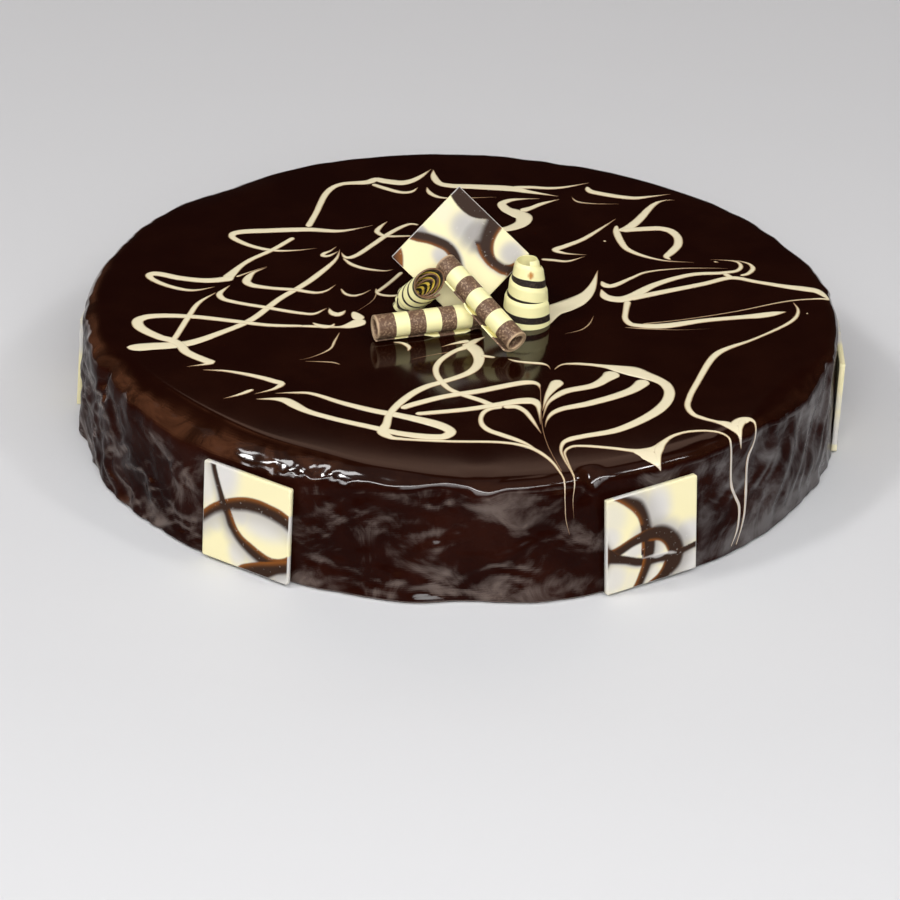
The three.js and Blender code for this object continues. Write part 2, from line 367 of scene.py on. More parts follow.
# at, height, lean, twist, yaw, sunk
SIDE_TILES = {
    "side_tile_front_left": (-30.35, 18.0, 2.8, 0.3, -2.7, 0.08),
    "side_tile_front_right": (28.7, 18.1, 1.9, -1.6, 2.2, 0.06),
    "side_tile_right": (87, 17.8, -0.8, -1.0, 2.0, 0.0),
    "side_tile_back_right": (145, 18.0, 4.5, 1.2, 0.5, 0.0),
    "side_tile_back_left": (206, 18.0, 5.0, -0.8, -0.5, 0.0),
    "side_tile_left": (-96, 17.9, 4.0, 1.0, 1.0, 0.8),
}
# half width in degrees, the radius that glaze is pushed back to, the height where that ends and fades out
PRESSED_WIDTH = 9.0
PRESSED_RADIUS = 128.0
PRESSED_TOP = 38.0
PRESSED_FADE = 4.0
# how steeply the lumps and the wall give way beside a square
LUMPS_GIVE = 3
WALL_GIVES = 4
# bearing, height, half width in degrees, half height, depth
DENTS = [(-66.4, 35, 1.2, 3.0, 1.7), (-65, 31, 0.8, 1.4, 1.0)]


def side_radius(bearing, z):
    """Radius of the lumpy side."""
    flare = FOOT_FLARE * np.exp(-z / FOOT_FLARE_HEIGHT)
    radius = CAKE_RADIUS + SIDE_TAPER * (0.5 - z / CAKE_HEIGHT) + flare + wall_shift(bearing, z)
    round_shift, up_shift = lumps(bearing, z, WARP_ROUND), lumps(bearing, z, WARP_UP)
    swell = lumps(bearing, z, BROAD_LUMPS)
    swell = swell + sum(lumps(bearing + round_shift, z + up_shift, layer) for layer in FINE_LUMPS)
    for at, *_ in SIDE_TILES.values():
        swell = swell * (1 - nearness(bearing, at, PRESSED_WIDTH, LUMPS_GIVE))
    swell = LUMP_LIMIT * np.tanh(swell / LUMP_LIMIT)
    for at, height, wide, tall, depth in DENTS:
        swell = swell - depth * nearness(bearing, at, wide) * np.exp(-(((z - height) / tall) ** 2))
    radius = radius + swell
    beside = np.clip((PRESSED_TOP - z) / PRESSED_FADE, 0, 1)
    for at, *_ in SIDE_TILES.values():
        pressed = beside * nearness(bearing, at, PRESSED_WIDTH, WALL_GIVES)
        radius = radius - pressed * np.maximum(radius - PRESSED_RADIUS, 0)
    return radius


print("side at half height, at the front:", round(float(side_radius(0.0, CAKE_HEIGHT / 2)), 1), "mm")

# %% [markdown]
# Poured glaze settles nearly level. Near the front it still sags a little towards its edge, and at the left
# a groove parts the top from the slumped shoulder. Sculpting by hand could do it, but a height for each
# bearing and each distance from the edge keeps the sag broad and free of dimples, which gloss would show.

# %% The top
SAG = 0.5
SAG_REACH = 24.0
SAG_WIDTH = 62.0
BROW = 0.35
BROW_REACH = 3.5
BROW_WIDTH = 40.0
GROOVE = 0.3
GROOVE_WIDTH = 1.1
GROOVE_WHERE = (-38, 32)


def top_height(bearing, inset):
    """Height of the top at a distance in from its edge."""
    near_edge = np.clip(1 - inset / SAG_REACH, 0, 1)
    sag = SAG * nearness(bearing, 0, SAG_WIDTH) * near_edge**2
    sag = sag + BROW * nearness(bearing, 0, BROW_WIDTH) * np.clip(1 - inset / BROW_REACH, 0, 1) ** 2
    groove = GROOVE * nearness(bearing, *GROOVE_WHERE) * np.exp(-((inset / GROOVE_WIDTH) ** 2))
    notch = 0
    for at, width, depth, reach in NOTCHES:
        notch = notch + depth * nearness(bearing, at, width, BLUNT) * np.clip(1 - inset / reach, 0, 1) ** 2
    return CAKE_HEIGHT - sag - groove - notch


print("top:", CAKE_HEIGHT, "mm high, and", round(float(top_height(0.0, 0.0)), 2), "mm at its front edge")

# %% [markdown]
# The cake's skin is a grid of points: rows follow the outline from the middle of the underside to the
# middle of the top, columns go round. The shoulder is one bend, a quadratic curve that leaves the wall
# upright and meets the top along its slope, so that a reflection runs over it without a break. It has
# small wrinkles of its own. A bevelled cylinder would be rounded alike all over, as poured glaze never is.

# %% The cake's outline, row by row
COLUMNS = 800
SIDE_ROWS = 54
SHOULDER_ROWS = 18
TOP_INSETS = np.concatenate([np.arange(0.6, 8, 0.6), np.arange(8, 34, 2.0), np.linspace(40, 112, 8)])
EDGE_STEP = 0.2
# as the layers of the side, with the way over the shoulder in place of height
SHOULDER_LUMPS = [
    (0.40, 150, 4.6, 0.5, (-22, 7.5)),
    (0.26, 290, 2.4, -0.7, (-22.5, 8)),
    (0.20, 420, 1.5, 0.6, (-22.5, 8)),
    (0.30, 150, 4.0, 0.6, (-60, 24)),
    (0.22, 110, 6.0, 0.4, None),
]


def cake_rows(bearing):
    """Radius and height of every row at each bearing, without the two middle points."""
    run, drop = shoulder_at(bearing)
    brow = top_height(bearing, 0.0)
    fall = (top_height(bearing, EDGE_STEP) - brow) / EDGE_STEP
    corner = brow - fall * run
    crest = corner - drop
    plateau = CAKE_RADIUS + wall_shift(bearing, CAKE_HEIGHT) - run
    rows = [(side_radius(bearing, FOOT_HEIGHT) - FOOT_CHAMFER, 0 * bearing)]
    for share in np.linspace(0, 1, SIDE_ROWS + 1):
        z = FOOT_HEIGHT + (crest - FOOT_HEIGHT) * share
        rows.append((side_radius(bearing, z), z))
    lip = side_radius(bearing, crest)
    for t in np.linspace(0, 1, SHOULDER_ROWS + 1)[1:]:
        r = lip + (plateau - lip) * t**2
        z = crest * (1 - t) ** 2 + 2 * corner * t * (1 - t) + brow * t**2
        swell = sum(lumps(bearing, run * t, layer) for layer in SHOULDER_LUMPS) * math.sin(math.pi * t)
        turn = t * math.pi / 2
        rows.append((r + swell * math.cos(turn), z + swell * math.sin(turn)))
    for inset in TOP_INSETS:
        rows.append((plateau - inset, top_height(bearing, inset)))
    return rows


bearings = np.arange(COLUMNS) * 360 / COLUMNS
rows = cake_rows(bearings)
print(len(rows), "rows of", COLUMNS, "points")

# %% [markdown]
# Each row becomes a ring, and faces join every ring to the next. Two single points close the underside and
# the top. A grid filled in by Blender would do as well, but so the order of the points is known.

# %% The cake's skin
rings = []
for r, z in rows:
    b = np.radians(bearings)
    rings.append(np.stack([r * np.sin(b), -r * np.cos(b), z], axis=1))
skin_points = np.concatenate([*rings, [[0, 0, 0], [0, 0, CAKE_HEIGHT]]])
underside, middle = len(skin_points) - 2, len(skin_points) - 1
skin_faces = []
for k in range(COLUMNS):
    n = (k + 1) % COLUMNS
    skin_faces.append((underside, n, k))
    for row in range(len(rings) - 1):
        low, high = row * COLUMNS, (row + 1) * COLUMNS
        skin_faces.append((low + k, low + n, high + n, high + k))
    last = (len(rings) - 1) * COLUMNS
    skin_faces.append((last + k, last + n, middle))
print(len(skin_points), "points and", len(skin_faces), "faces in the skin")

# %% [markdown]
# Dark glaze: nearly black brown on the level top, a warmer brown where it was spread thin over the left
# shoulder, and dark again on the side. On the side, grey patches of painted sheen, shaped like spatula
# smears, stand for the pale floor mirrored in the glaze. The upward part of the surface's own normal tells
# top, shoulder and side apart. The painted sheen gathers where the side leans down a little, where a mirror
# would catch the floor, near the foot, and on the right, where it is greyer. Painting by hand would tie the
# finish to one mesh. Noise steered by the shape follows every lump by itself.

# %% Dark glaze: colour
GLAZE_TOP = ((0.0092, 0.0015, 0.0005, 1), (0.0132, 0.0027, 0.0010, 1))
GLAZE_SHOULDER = ((0.017, 0.0052, 0.0022, 1), (0.068, 0.0245, 0.0112, 1))
GLAZE_SIDE = ((0.0095, 0.0016, 0.0008, 1), (0.0190, 0.0042, 0.0022, 1))
# painted sheen: grey that stands for the floor's reflection on the side, the second one greyer, for the
# right
GLAZE_PAINTED_SHEEN = ((0.130, 0.096, 0.082, 1), (0.112, 0.100, 0.098, 1))
# upward part of the normal where the glaze turns up into the shoulder, and where it is level
TURNED_UP = (0.36, 0.62)
LEVEL = (0.90, 0.996)
# metres up from the table, and across the cake, over which a change comes in
FOOT_ZONE = (0.011, 0.003)
THIN_ZONE = (-0.02, -0.07)
THIN_LEAST = 0.2
RIGHT_ZONE = (0.035, 0.09)
# what an upward lean, the foot and the right side add to the painted sheen, and the range it shows in
SHEEN_BY_LEAN = -0.42
SHEEN_AT_FOOT = 0.13
SHEEN_ON_RIGHT = 0.085
SHEEN_SHOWS = (0.44, 0.80)
TONE_RANGE = (0.35, 0.7)
CLOUD_RANGE = (0.36, 0.64)

glaze, tree, shader = finish_named("dark_glaze")
place = add(tree, "TexCoord").outputs["Object"]
upward = add(tree, "SeparateXYZ", {0: add(tree, "NewGeometry").outputs["True Normal"]}).outputs["Z"]
levelness = eased(tree, upward, *LEVEL)
turned_up = eased(tree, upward, *TURNED_UP)
drifts = {"Vector": place, "Scale": 38.0, "Detail": 5.0, "Roughness": 0.6}
drift = add(tree, "TexNoise", drifts).outputs["Fac"]
tone = eased(tree, drift, *TONE_RANGE)
clouds = {"Vector": place, "Scale": 58.0, "Detail": 9.0, "Roughness": 0.62, "Distortion": 1.0}
cloudy = add(tree, "TexNoise", clouds).outputs["Fac"]
spot = add(tree, "SeparateXYZ", {0: place}).outputs
near_foot = eased(tree, spot["Z"], *FOOT_ZONE, 0.0, SHEEN_AT_FOOT)
spread_thin = eased(tree, spot["X"], *THIN_ZONE, THIN_LEAST, 1.0)
right_side = eased(tree, spot["X"], *RIGHT_ZONE)
# painted sheen: grey patches where the side would mirror the floor, that is where it leans down, near the
# foot and on the right
sheen_share = math_of(tree, "MULTIPLY_ADD", upward, SHEEN_BY_LEAN, cloudy)
sheen_share = math_of(tree, "ADD", sheen_share, near_foot)
sheen_share = math_of(tree, "MULTIPLY_ADD", right_side, SHEEN_ON_RIGHT, sheen_share)
painted_sheen = eased(tree, sheen_share, *SHEEN_SHOWS)
side_tone = mixed(tree, painted_sheen, mixed(tree, tone, *GLAZE_SIDE), mixed(tree, right_side, *GLAZE_PAINTED_SHEEN))
top_tone = mixed(tree, tone, *GLAZE_TOP)
thin_tone = mixed(tree, eased(tree, cloudy, *CLOUD_RANGE), *GLAZE_SHOULDER)
side_and_shoulder_tone = mixed(tree, turned_up, side_tone, mixed(tree, spread_thin, top_tone, thin_tone))
tree.links.new(mixed(tree, levelness, side_and_shoulder_tone, top_tone), shader.inputs["Base Color"])
print("dark glaze:", len(tree.nodes), "nodes give its colour")

# %% [markdown]
# The top and the shoulder carry a clear glossy film, which the side keeps only in patches. A coat over a
# duller base gives both in one finish, where two materials would show a seam. Spatula work leaves the
# side rougher than the poured top, and a fine bump breaks up reflections there.

# %% Dark glaze: gloss
GLAZE_IOR = 1.11
FILM_IOR = 1.5
FILM_ROUGHNESS = 0.09
# share of the film on the painted sheen and on turned-up glaze, and what the level top loses of it
FILM_ON_SHEEN = 0.24
FILM_TURNED_UP = 0.9
FILM_LEVEL = -0.22
ROUGH_RANGE = (0.3, 0.75)
ROUGH_WORKED = (0.17, 0.32)
ROUGH_POURED = (0.09, 0.13)
GRAIN_DEPTH = 0.0006
GRAIN_STRENGTH = 0.18
GRAIN_LEVEL = -0.16

worked = eased(tree, drift, *ROUGH_RANGE, *ROUGH_WORKED)
poured = eased(tree, drift, *ROUGH_RANGE, *ROUGH_POURED)
gloss = add(tree, "Mix", {0: turned_up, 2: worked, 3: poured})
tree.links.new(gloss.outputs[0], shader.inputs["Roughness"])
film_on_sheen = math_of(tree, "MULTIPLY", painted_sheen, FILM_ON_SHEEN)
film_turned_up = math_of(tree, "MULTIPLY", turned_up, FILM_TURNED_UP)
film = math_of(tree, "MAXIMUM", film_on_sheen, film_turned_up)
film = math_of(tree, "MULTIPLY_ADD", levelness, FILM_LEVEL, film)
tree.links.new(film, shader.inputs["Coat Weight"])
grain = add(tree, "TexNoise", {"Vector": place, "Scale": 420.0, "Detail": 4.0}).outputs["Fac"]
strength = math_of(tree, "MULTIPLY_ADD", levelness, GRAIN_LEVEL, GRAIN_STRENGTH)
bump = add(tree, "Bump", {"Strength": strength, "Distance": GRAIN_DEPTH, "Height": grain})
tree.links.new(bump.outputs["Normal"], shader.inputs["Normal"])
shader.inputs["IOR"].default_value = GLAZE_IOR
shader.inputs["Coat IOR"].default_value = FILM_IOR
shader.inputs["Coat Roughness"].default_value = FILM_ROUGHNESS

cake = mesh_object("glazed_cake", skin_points, skin_faces, glaze)
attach(cake, "root")
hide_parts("cake")
glaze_surface = BVHTree.FromPolygons(skin_points.tolist(), skin_faces)
print("glazed cake:", len(cake.data.polygons), "faces")

# %% [markdown]
# White chocolate is piped on the wet glaze and drawn through it with a pick, so it ends up level with
# the glaze, in lines that swell and thin out to brown tails. It could be painted in a material, but a
# picture of it would blur. Each stroke is a thin ribbon of mesh laid on the glaze instead.
# A stroke is a few points of the picture, each with the ribbon's width there in millimetres.

# %% A smooth line through a stroke's points
def smooth_line(points, count):
    """A curve through every point, closer to the straight line where points are close together."""
    p = np.array(points, float)
    gaps = np.linalg.norm(np.diff(p[:, :2], axis=0), axis=1) ** 0.5
    s = np.concatenate([[0], np.cumsum(gaps)])
    slope = np.gradient(p, s, axis=0)
    t = np.linspace(0, s[-1], count)
    k = np.clip(np.searchsorted(s, t, side="right") - 1, 0, len(p) - 2)
    h = (s[k + 1] - s[k])[:, None]
    u = (t - s[k])[:, None] / h
    start = (2 * u**3 - 3 * u**2 + 1) * p[k] + (u**3 - 2 * u**2 + u) * h * slope[k]
    end = (3 * u**2 - 2 * u**3) * p[k + 1] + (u**3 - u**2) * h * slope[k + 1]
    return start + end


print("smooth line:", smooth_line([(0, 0, 1), (10, 0, 3), (10, 10, 1)], 5).round(1).tolist())

# %% [markdown]
# A stroke is traced first. Lines of sight carry its points to the glaze, and the line found there is cut
# into even steps. Its ends are rounded, as a pick leaves them. A curve object with a bevel could be laid on
# the glaze too, but it would stay round in section and stand up like a wire.

# %% Tracing a stroke on the glaze
# traced places for each listed point, then millimetres: the step, and the least a ribbon's end narrows from
TRACED_BETWEEN = 12
RIBBON_STEP = 0.7
END_WIDTH = 0.05
END_SHARE = 0.02


def seen_on_glaze(x, y):
    """Where a pixel of the picture meets the glaze, and which way the glaze faces there."""
    hit, normal, _, _ = glaze_surface.ray_cast(eye, line_of_sight(x, y))
    return hit, normal


def resampled(line, step):
    """The same line at even steps along its length, with its distance from the start."""
    length = np.concatenate([[0], np.cumsum(np.linalg.norm(np.diff(line[:, :3], axis=0), axis=1))])
    along = np.linspace(0, length[-1], max(3, round(length[-1] / step) + 1))
    return np.stack([np.interp(along, length, line[:, c]) for c in range(line.shape[1])], axis=1), along


def rounded_ends(width, along):
    """Narrows a ribbon to a round end within half its width of each end."""
    from_end = np.minimum(along, along[-1] - along)
    share = np.clip(from_end / np.maximum(width / 2, END_WIDTH), END_SHARE, 1)
    return width * np.sqrt(1 - (1 - share) ** 2)


seen_middle = seen_on_glaze(PICTURE / 2, PICTURE / 2)[0]
print("the middle of the picture is on the glaze at", [round(v) for v in seen_middle], "mm")

# %% [markdown]
# Then the ribbon's cross-section is laid square to the line: seven points, each dropped on the glaze, plus
# a keel below that closes the ribbon. The rim is just under the glaze and the middle a hair above it, so
# where strokes cross, the fuller one covers the other's rim and they run together. A value stored at each
# point says how far in from the rim it is, and more on the steep side, where a drip runs over set glaze
# and doesn't mix with it.

# %% A ribbon laid on the glaze
# millimetres: the thinnest ribbon, its rim's depth, its middle's rise and where that is reached, its keel
RIBBON_LEAST = 0.1
RIBBON_SINK = 0.03
RIBBON_RISE = 0.09
RIBBON_FULL = 0.7
RIBBON_KEEL = 0.45
# each stroke lies this much higher than the last, for so many strokes in turn
RIBBON_SHIFT = 0.011
RIBBON_SHIFTS = 7
# how far above the glaze a point is dropped from, and how much less a drip mixes with the glaze
REACH = 6.0
UNMIXED = 0.9
ACROSS = np.linspace(-1, 1, 7)

ribbon_points, ribbon_faces, ribbon_rims = [], [], []


def lay_ribbon(points, shift):
    """One stroke of white chocolate, raised by a small shift. Returns its length in millimetres."""
    pixels = smooth_line(points, TRACED_BETWEEN * len(points))
    traced = []
    for x, y, width in pixels:
        hit, normal = seen_on_glaze(x, y)
        if hit is not None:
            traced.append([*hit, *normal, max(width, RIBBON_LEAST)])
    line, along = resampled(np.array(traced), RIBBON_STEP)
    centre, normals = line[:, :3], line[:, 3:6]
    normals /= np.linalg.norm(normals, axis=1)[:, None]
    width = rounded_ends(line[:, 6], along)
    sideways = np.cross(normals, np.gradient(centre, axis=0))
    sideways /= np.linalg.norm(sideways, axis=1)[:, None]
    start = len(ribbon_points)
    for c, n, s, w in zip(centre, normals, sideways, width):
        normal = Vector(n)
        for share in ACROSS:
            spot = Vector(c + s * share * w / 2)
            hit = glaze_surface.ray_cast(spot + normal * REACH, -normal, 2 * REACH)[0] or spot
            rim = (1 - abs(share)) * w / 2 * (1 + UNMIXED * (1 - min(max(normal.z, 0), 1)))
            full = min(rim / RIBBON_FULL, 1)
            rise = (RIBBON_RISE + shift) * full * (2 - full) - RIBBON_SINK
            ribbon_points.append(hit + normal * rise)
            ribbon_rims.append(rim)
        ribbon_points.append(Vector(c) - normal * RIBBON_KEEL)
        ribbon_rims.append(0.0)
    section = len(ACROSS) + 1
    for k in range(len(centre) - 1):
        a = start + k * section
        for j in range(section):
            n = (j + 1) % section
            ribbon_faces.append((a + j, a + n, a + section + n, a + section + j))
    ribbon_faces.append(tuple(range(start + section - 1, start - 1, -1)))
    ribbon_faces.append(tuple(range(len(ribbon_points) - section, len(ribbon_points))))
    return along[-1]


def feather(region, strokes, before=0):
    """Lays the strokes of one part of the cake. Each is a hair higher than the one before, in turns, and
    before counts those that were laid beside them, so that strokes that cross don't lie at one height."""
    lengths = []
    for number, points in enumerate(strokes.values(), before):
        lengths.append(lay_ribbon(points, RIBBON_SHIFT * (number % RIBBON_SHIFTS)))
    print(region + ":", len(strokes), "strokes,", round(sum(lengths)), "mm")


print("a ribbon has", len(ACROSS) + 1, "points in section and a step every", RIBBON_STEP, "mm")

# %% [markdown]
# The web on the left was piped as loops and then crossed by one long diagonal. One closed outline could
# hold it all, but separate strokes are how it was drawn, and each keeps its own swell and tails. Nothing
# joins them: where they cross they lie in one another.

# %% Feathering: the web on the left
feather("web on the left", {
    "back rise": [
        (308, 227, 3), (316, 213, 2.8), (325, 195, 3), (332, 188, 3), (342, 184, 3), (368, 182, 4),
        (376, 179.5, 4), (385, 181, 4.5), (402, 182.7, 4.5), (412, 180.6, 3.5), (420.6, 176.5, 2.5),
        (431.8, 168.6, 0.3),
    ],
    "back rise branch": [
        (372, 184, 2.5), (384, 188, 2.8), (402, 192.4, 2.6), (412, 191.5, 2), (418.5, 187, 0.4),
    ],
    "upper loop": [
        (374, 225, 0.4), (360, 228, 1), (340, 231, 2.5), (308, 229.5, 3.8), (270, 230.5, 4.1),
        (240, 232, 4), (233, 234, 3.5), (232, 236.5, 3), (235, 239, 3), (250, 245.5, 2.7),
        (273, 250.3, 2.2), (297, 250.3, 1.2), (318, 248, 0.3),
    ],
    "upper diagonal": [
        (294, 237.5, 2.5), (273, 249.5, 2.6), (250, 260, 2.6), (240, 266.5, 2.8), (226, 279, 5),
    ],
    "left loop": [
        (234, 278, 4.5), (208, 280.5, 4), (180, 278, 3.8), (160, 274, 3.8), (153, 273.7, 3.8),
        (149.5, 275, 3.5), (150, 277.3, 3), (164, 284.5, 2.7), (187, 290, 2.2), (198, 290, 1.6),
        (216, 286.5, 0.4),
    ],
    "left loop tail": [(236, 277, 1.5), (250, 272, 1), (268, 266, 0.3)],
    "small loop": [
        (268, 267, 0.3), (253, 273, 2), (248, 278, 3.4), (246.5, 281.5, 3.6), (250, 284.5, 3.4),
        (270, 288, 2.7), (297, 290, 2.6), (310, 292.2, 2.4), (318, 292.7, 2), (327, 290.5, 1.4),
        (336.5, 284, 0.3),
    ],
    "long diagonal": [
        (340, 249, 0.4), (336.7, 258, 1.6), (318.4, 274.3, 3), (304, 284.5, 3), (279.6, 298.8, 3),
        (251, 319.8, 3.2), (222.4, 332, 3.4), (187.8, 343.3, 4.6), (151, 346.3, 5.8), (136.7, 347.3, 5.6),
        (126.5, 347.3, 3),
    ],
})

# %% [markdown]
# Between the web and the plaque lie short arcs, the ends of loops that the decorations cover. They are laid
# as if nothing stood there, since the picture doesn't show where they end.

# %% Feathering: arcs by the plaque
feather("arcs by the plaque", {
    "small hook": [
        (337, 246, 0.4), (330, 251, 1.4), (324, 253.5, 2.2), (322.5, 255.5, 2.2), (328, 256, 2),
        (339, 251, 0.4),
    ],
    "arc to the plaque": [
        (341, 252, 0.4), (345, 257, 2), (350, 257.5, 2.6), (357, 255, 2.6), (373, 244.5, 2.6),
        (390, 233, 2.6), (405, 225.5, 2.2), (411, 224, 2), (419, 225, 1.4),
    ],
    "arc branch": [
        (388, 221, 0.4), (379.5, 227.5, 2.2), (377, 231.4, 2.6), (380.6, 234.5, 2.4), (386, 236, 2.2),
        (412, 236, 1.4),
    ],
    "lower arc": [
        (342.9, 258, 1), (351, 264, 2.2), (363.3, 268.2, 2.2), (385.7, 270.8, 1.2), (393.9, 269.2, 0.4),
    ],
    "small arc": [
        (340.8, 288.4, 0.8), (344.9, 293.5, 1.8), (353, 295.7, 2), (362, 294, 1.2), (371.4, 289.4, 0.4),
    ],
    "by the scroll": [(402, 272, 2), (388, 284, 2), (377, 292, 2)],
    "scroll foot": [
        (376, 288, 0.5), (377, 292.5, 1.8), (380, 294.4, 2), (392, 295.8, 2), (402, 294.4, 1.6),
    ],
    "scroll tail": [(377, 292, 0.8), (373.5, 299.4, 0.6), (355, 312.7, 0.3)],
}, before=8)

# %% [markdown]
# Lower down, one big loop holds the web together, and small ticks and brown wisps lie round it where the
# pick was lifted. A wisp is a stroke so thin that it never reaches the cream.

# %% Feathering: the foot of the web
feather("foot of the web", {
    "middle line": [
        (230.6, 285, 0.5), (224.5, 289.2, 1.6), (219.4, 294.3, 2.8), (222.4, 298.4, 2.8),
        (234.7, 302, 2.6), (267.3, 307.6, 2.6), (300, 313, 2.4), (314.3, 313.7, 2), (327.6, 307.6, 0.4),
    ],
    "left cross": [
        (216.3, 292.2, 0.6), (198, 303.5, 2.2), (187.8, 317.8, 2.6), (175.5, 337, 2.6), (172, 341, 2.6),
    ],
    "big loop": [
        (304, 326, 2), (267.3, 325, 2.7), (234.7, 321.2, 3), (193.9, 316.7, 3.3), (159.2, 315.7, 3.8),
        (144.9, 317.3, 4.2), (137.8, 320.8, 4.5), (138.8, 326, 4.5), (159.2, 337, 4), (171.4, 340.2, 4),
        (180.6, 345.3, 4), (185.7, 351.4, 4), (206, 360.6, 4), (211.2, 362.2, 3.6), (206, 364, 2),
        (185.7, 366.7, 0.3),
    ],
    "crescent": [(329, 308, 0.5), (331, 312, 2.5), (337, 314.5, 3.5), (343, 312.5, 2), (346, 310, 0.4)],
    "tick": [(312, 322.4, 0.6), (320, 326, 3), (332, 326, 2), (335, 323, 0.4)],
    "heart, upper lobe": [(353, 311.5, 1.5), (356, 315, 4), (361, 320, 5.5)],
    "heart, lower lobe": [
        (300, 326, 2), (320, 326.5, 2.4), (340, 327, 2), (350, 325.5, 4.5), (361, 321.5, 5.5),
        (365, 320, 3),
    ],
    "brown wisp": [
        (339.8, 332, 0.5), (334.7, 341.2, 1.2), (330.6, 348.4, 1.2), (310.2, 357.6, 0.5), (298, 360, 0.3),
    ],
    "brown dash": [(304, 361.2, 0.4), (334.7, 362.7, 1), (340.4, 364.7, 0.5)],
    "zigzag": [
        (202, 369.8, 0.5), (226.5, 371, 1.8), (259.2, 377, 2.8), (273.5, 381, 3.2), (281.6, 383.7, 3),
        (275.5, 388.2, 2), (253, 394.3, 0.3),
    ],
    "short dash": [(254, 389.2, 1.5), (247, 391.8, 2.2), (236.7, 395.3, 1.5), (222.4, 398.8, 0.3)],
}, before=16)

# %% [markdown]
# At the front the lines were drawn towards the viewer with a pick, which pulled them into a fan of
# petals with one stem that runs over the crest and down the side. Each petal is its own stroke and ends
# in a hair along the stem, so the stem grows out of them as it does on the cake.

# %% Feathering: the front
feather("front", {
    "long hairpin": [
        (273.5, 393.3, 0.4), (293.9, 392.7, 1.6), (310.2, 393.3, 2.2), (340.8, 402.4, 3),
        (373, 410.5, 3.6), (400.8, 415.7, 4), (435.5, 423.9, 5), (447.8, 429, 4.6), (450.8, 432, 4.2),
        (445.7, 436, 4.2), (433.5, 437, 4.4), (400.8, 433.5, 3.8), (372, 427.2, 3.4), (334.7, 418.8, 3.2),
        (306, 410.6, 3.5), (293.9, 404.5, 4.4), (285.7, 400.4, 4), (275.5, 399, 2.5), (255, 399, 0.6),
    ],
    "great loop": [
        (462, 344.5, 3.4), (472, 347, 5.5), (477.5, 353, 5), (479, 360, 4.2), (476, 367, 3.8),
        (468, 373, 3.4), (442, 382, 3.2), (428, 386, 3.4), (415, 392, 3.4), (404, 399.5, 3.4),
        (395, 407.5, 3.2), (389, 415.5, 3.1), (386.5, 424, 3.4), (383, 431.5, 4.6), (390, 437, 3),
        (401, 438.8, 2.2), (446, 441.2, 2), (499, 442.2, 2), (517, 444.3, 2.1), (531, 448, 2.2),
        (541.6, 453.5, 2), (551.8, 461.6, 1.6), (559, 470.8, 1.2), (564, 480, 0.9), (565, 500, 0.5),
        (566, 520, 0.4), (570, 536, 0.2),
    ],
    "oval": [
        (486, 336.5, 0.6), (474, 341.5, 3), (466, 347, 3.2), (456, 350.5, 2.6), (447, 355.5, 2.6),
        (440, 361, 2.6), (436, 367.5, 2.6), (436.5, 374, 2.6), (440.5, 380.5, 2.8), (448, 388, 2.6),
        (458, 393, 2.8), (481, 400.5, 3), (491, 404.5, 3), (502, 406.5, 3),
    ],
    "oval spike": [(470, 341, 3), (462, 342, 2.5), (450, 344.5, 1.2), (440, 347.3, 0.3)],
    "oval wisp": [(460, 350.5, 0.8), (429, 355.5, 0.5), (411, 359.6, 0.3)],
})

# %% [markdown]
# The petals look like blobs, each pulled once towards the edge. So each starts wide, bends over, and runs
# out beside the stem. A mirrored copy could make the other half, but a hand never pulls twice alike.

# %% Feathering: petals on the left of the stem
feather("petals, left half", {
    "upper petal": [
        (400.8, 408.6, 3), (413, 404.5, 3.4), (445.7, 396.3, 3.4), (478.4, 391.2, 3.6), (511, 384.7, 3.6),
        (523.3, 382.7, 3.6), (533.5, 382.7, 3), (538.6, 385, 1.8), (540, 389, 0.6), (541, 400, 0.2),
    ],
    "middle petal": [
        (415, 414, 2.6), (431.4, 412.7, 3), (468.2, 409.2, 3.2), (498.8, 404.5, 3.6), (511, 402.4, 4),
        (523.3, 400.8, 4.6), (533.5, 401.5, 4.6), (538, 405.5, 2.6), (539.2, 411.6, 1.5),
        (540.6, 425, 0.3),
    ],
    "lower petal": [
        (502.9, 406.5, 3), (490.6, 408.6, 2.6), (483.5, 412.7, 2.2), (480.8, 418.8, 2), (482.4, 425, 2.4),
        (488.6, 430, 2.8), (500.8, 434.5, 2.9), (515, 439.2, 2.6), (527.3, 444.3, 1.8),
        (537.6, 450.4, 0.8),
    ],
    "inner petal": [
        (502.9, 407, 3), (517, 407, 3), (525.3, 411.6, 2.4), (531.4, 418.8, 2), (541.6, 434, 0.4),
    ],
    "stem": [(540.5, 388, 0.5), (541.5, 420, 0.5), (544, 434, 0.5), (549, 448, 0.5), (562, 472, 0.5)],
}, before=5)

# %% [markdown]
# The right half of the fan mirrors the left loosely, with one great petal round two small ones. Short bars
# and hooks close to the pencils are what shows of lines that run on under them.

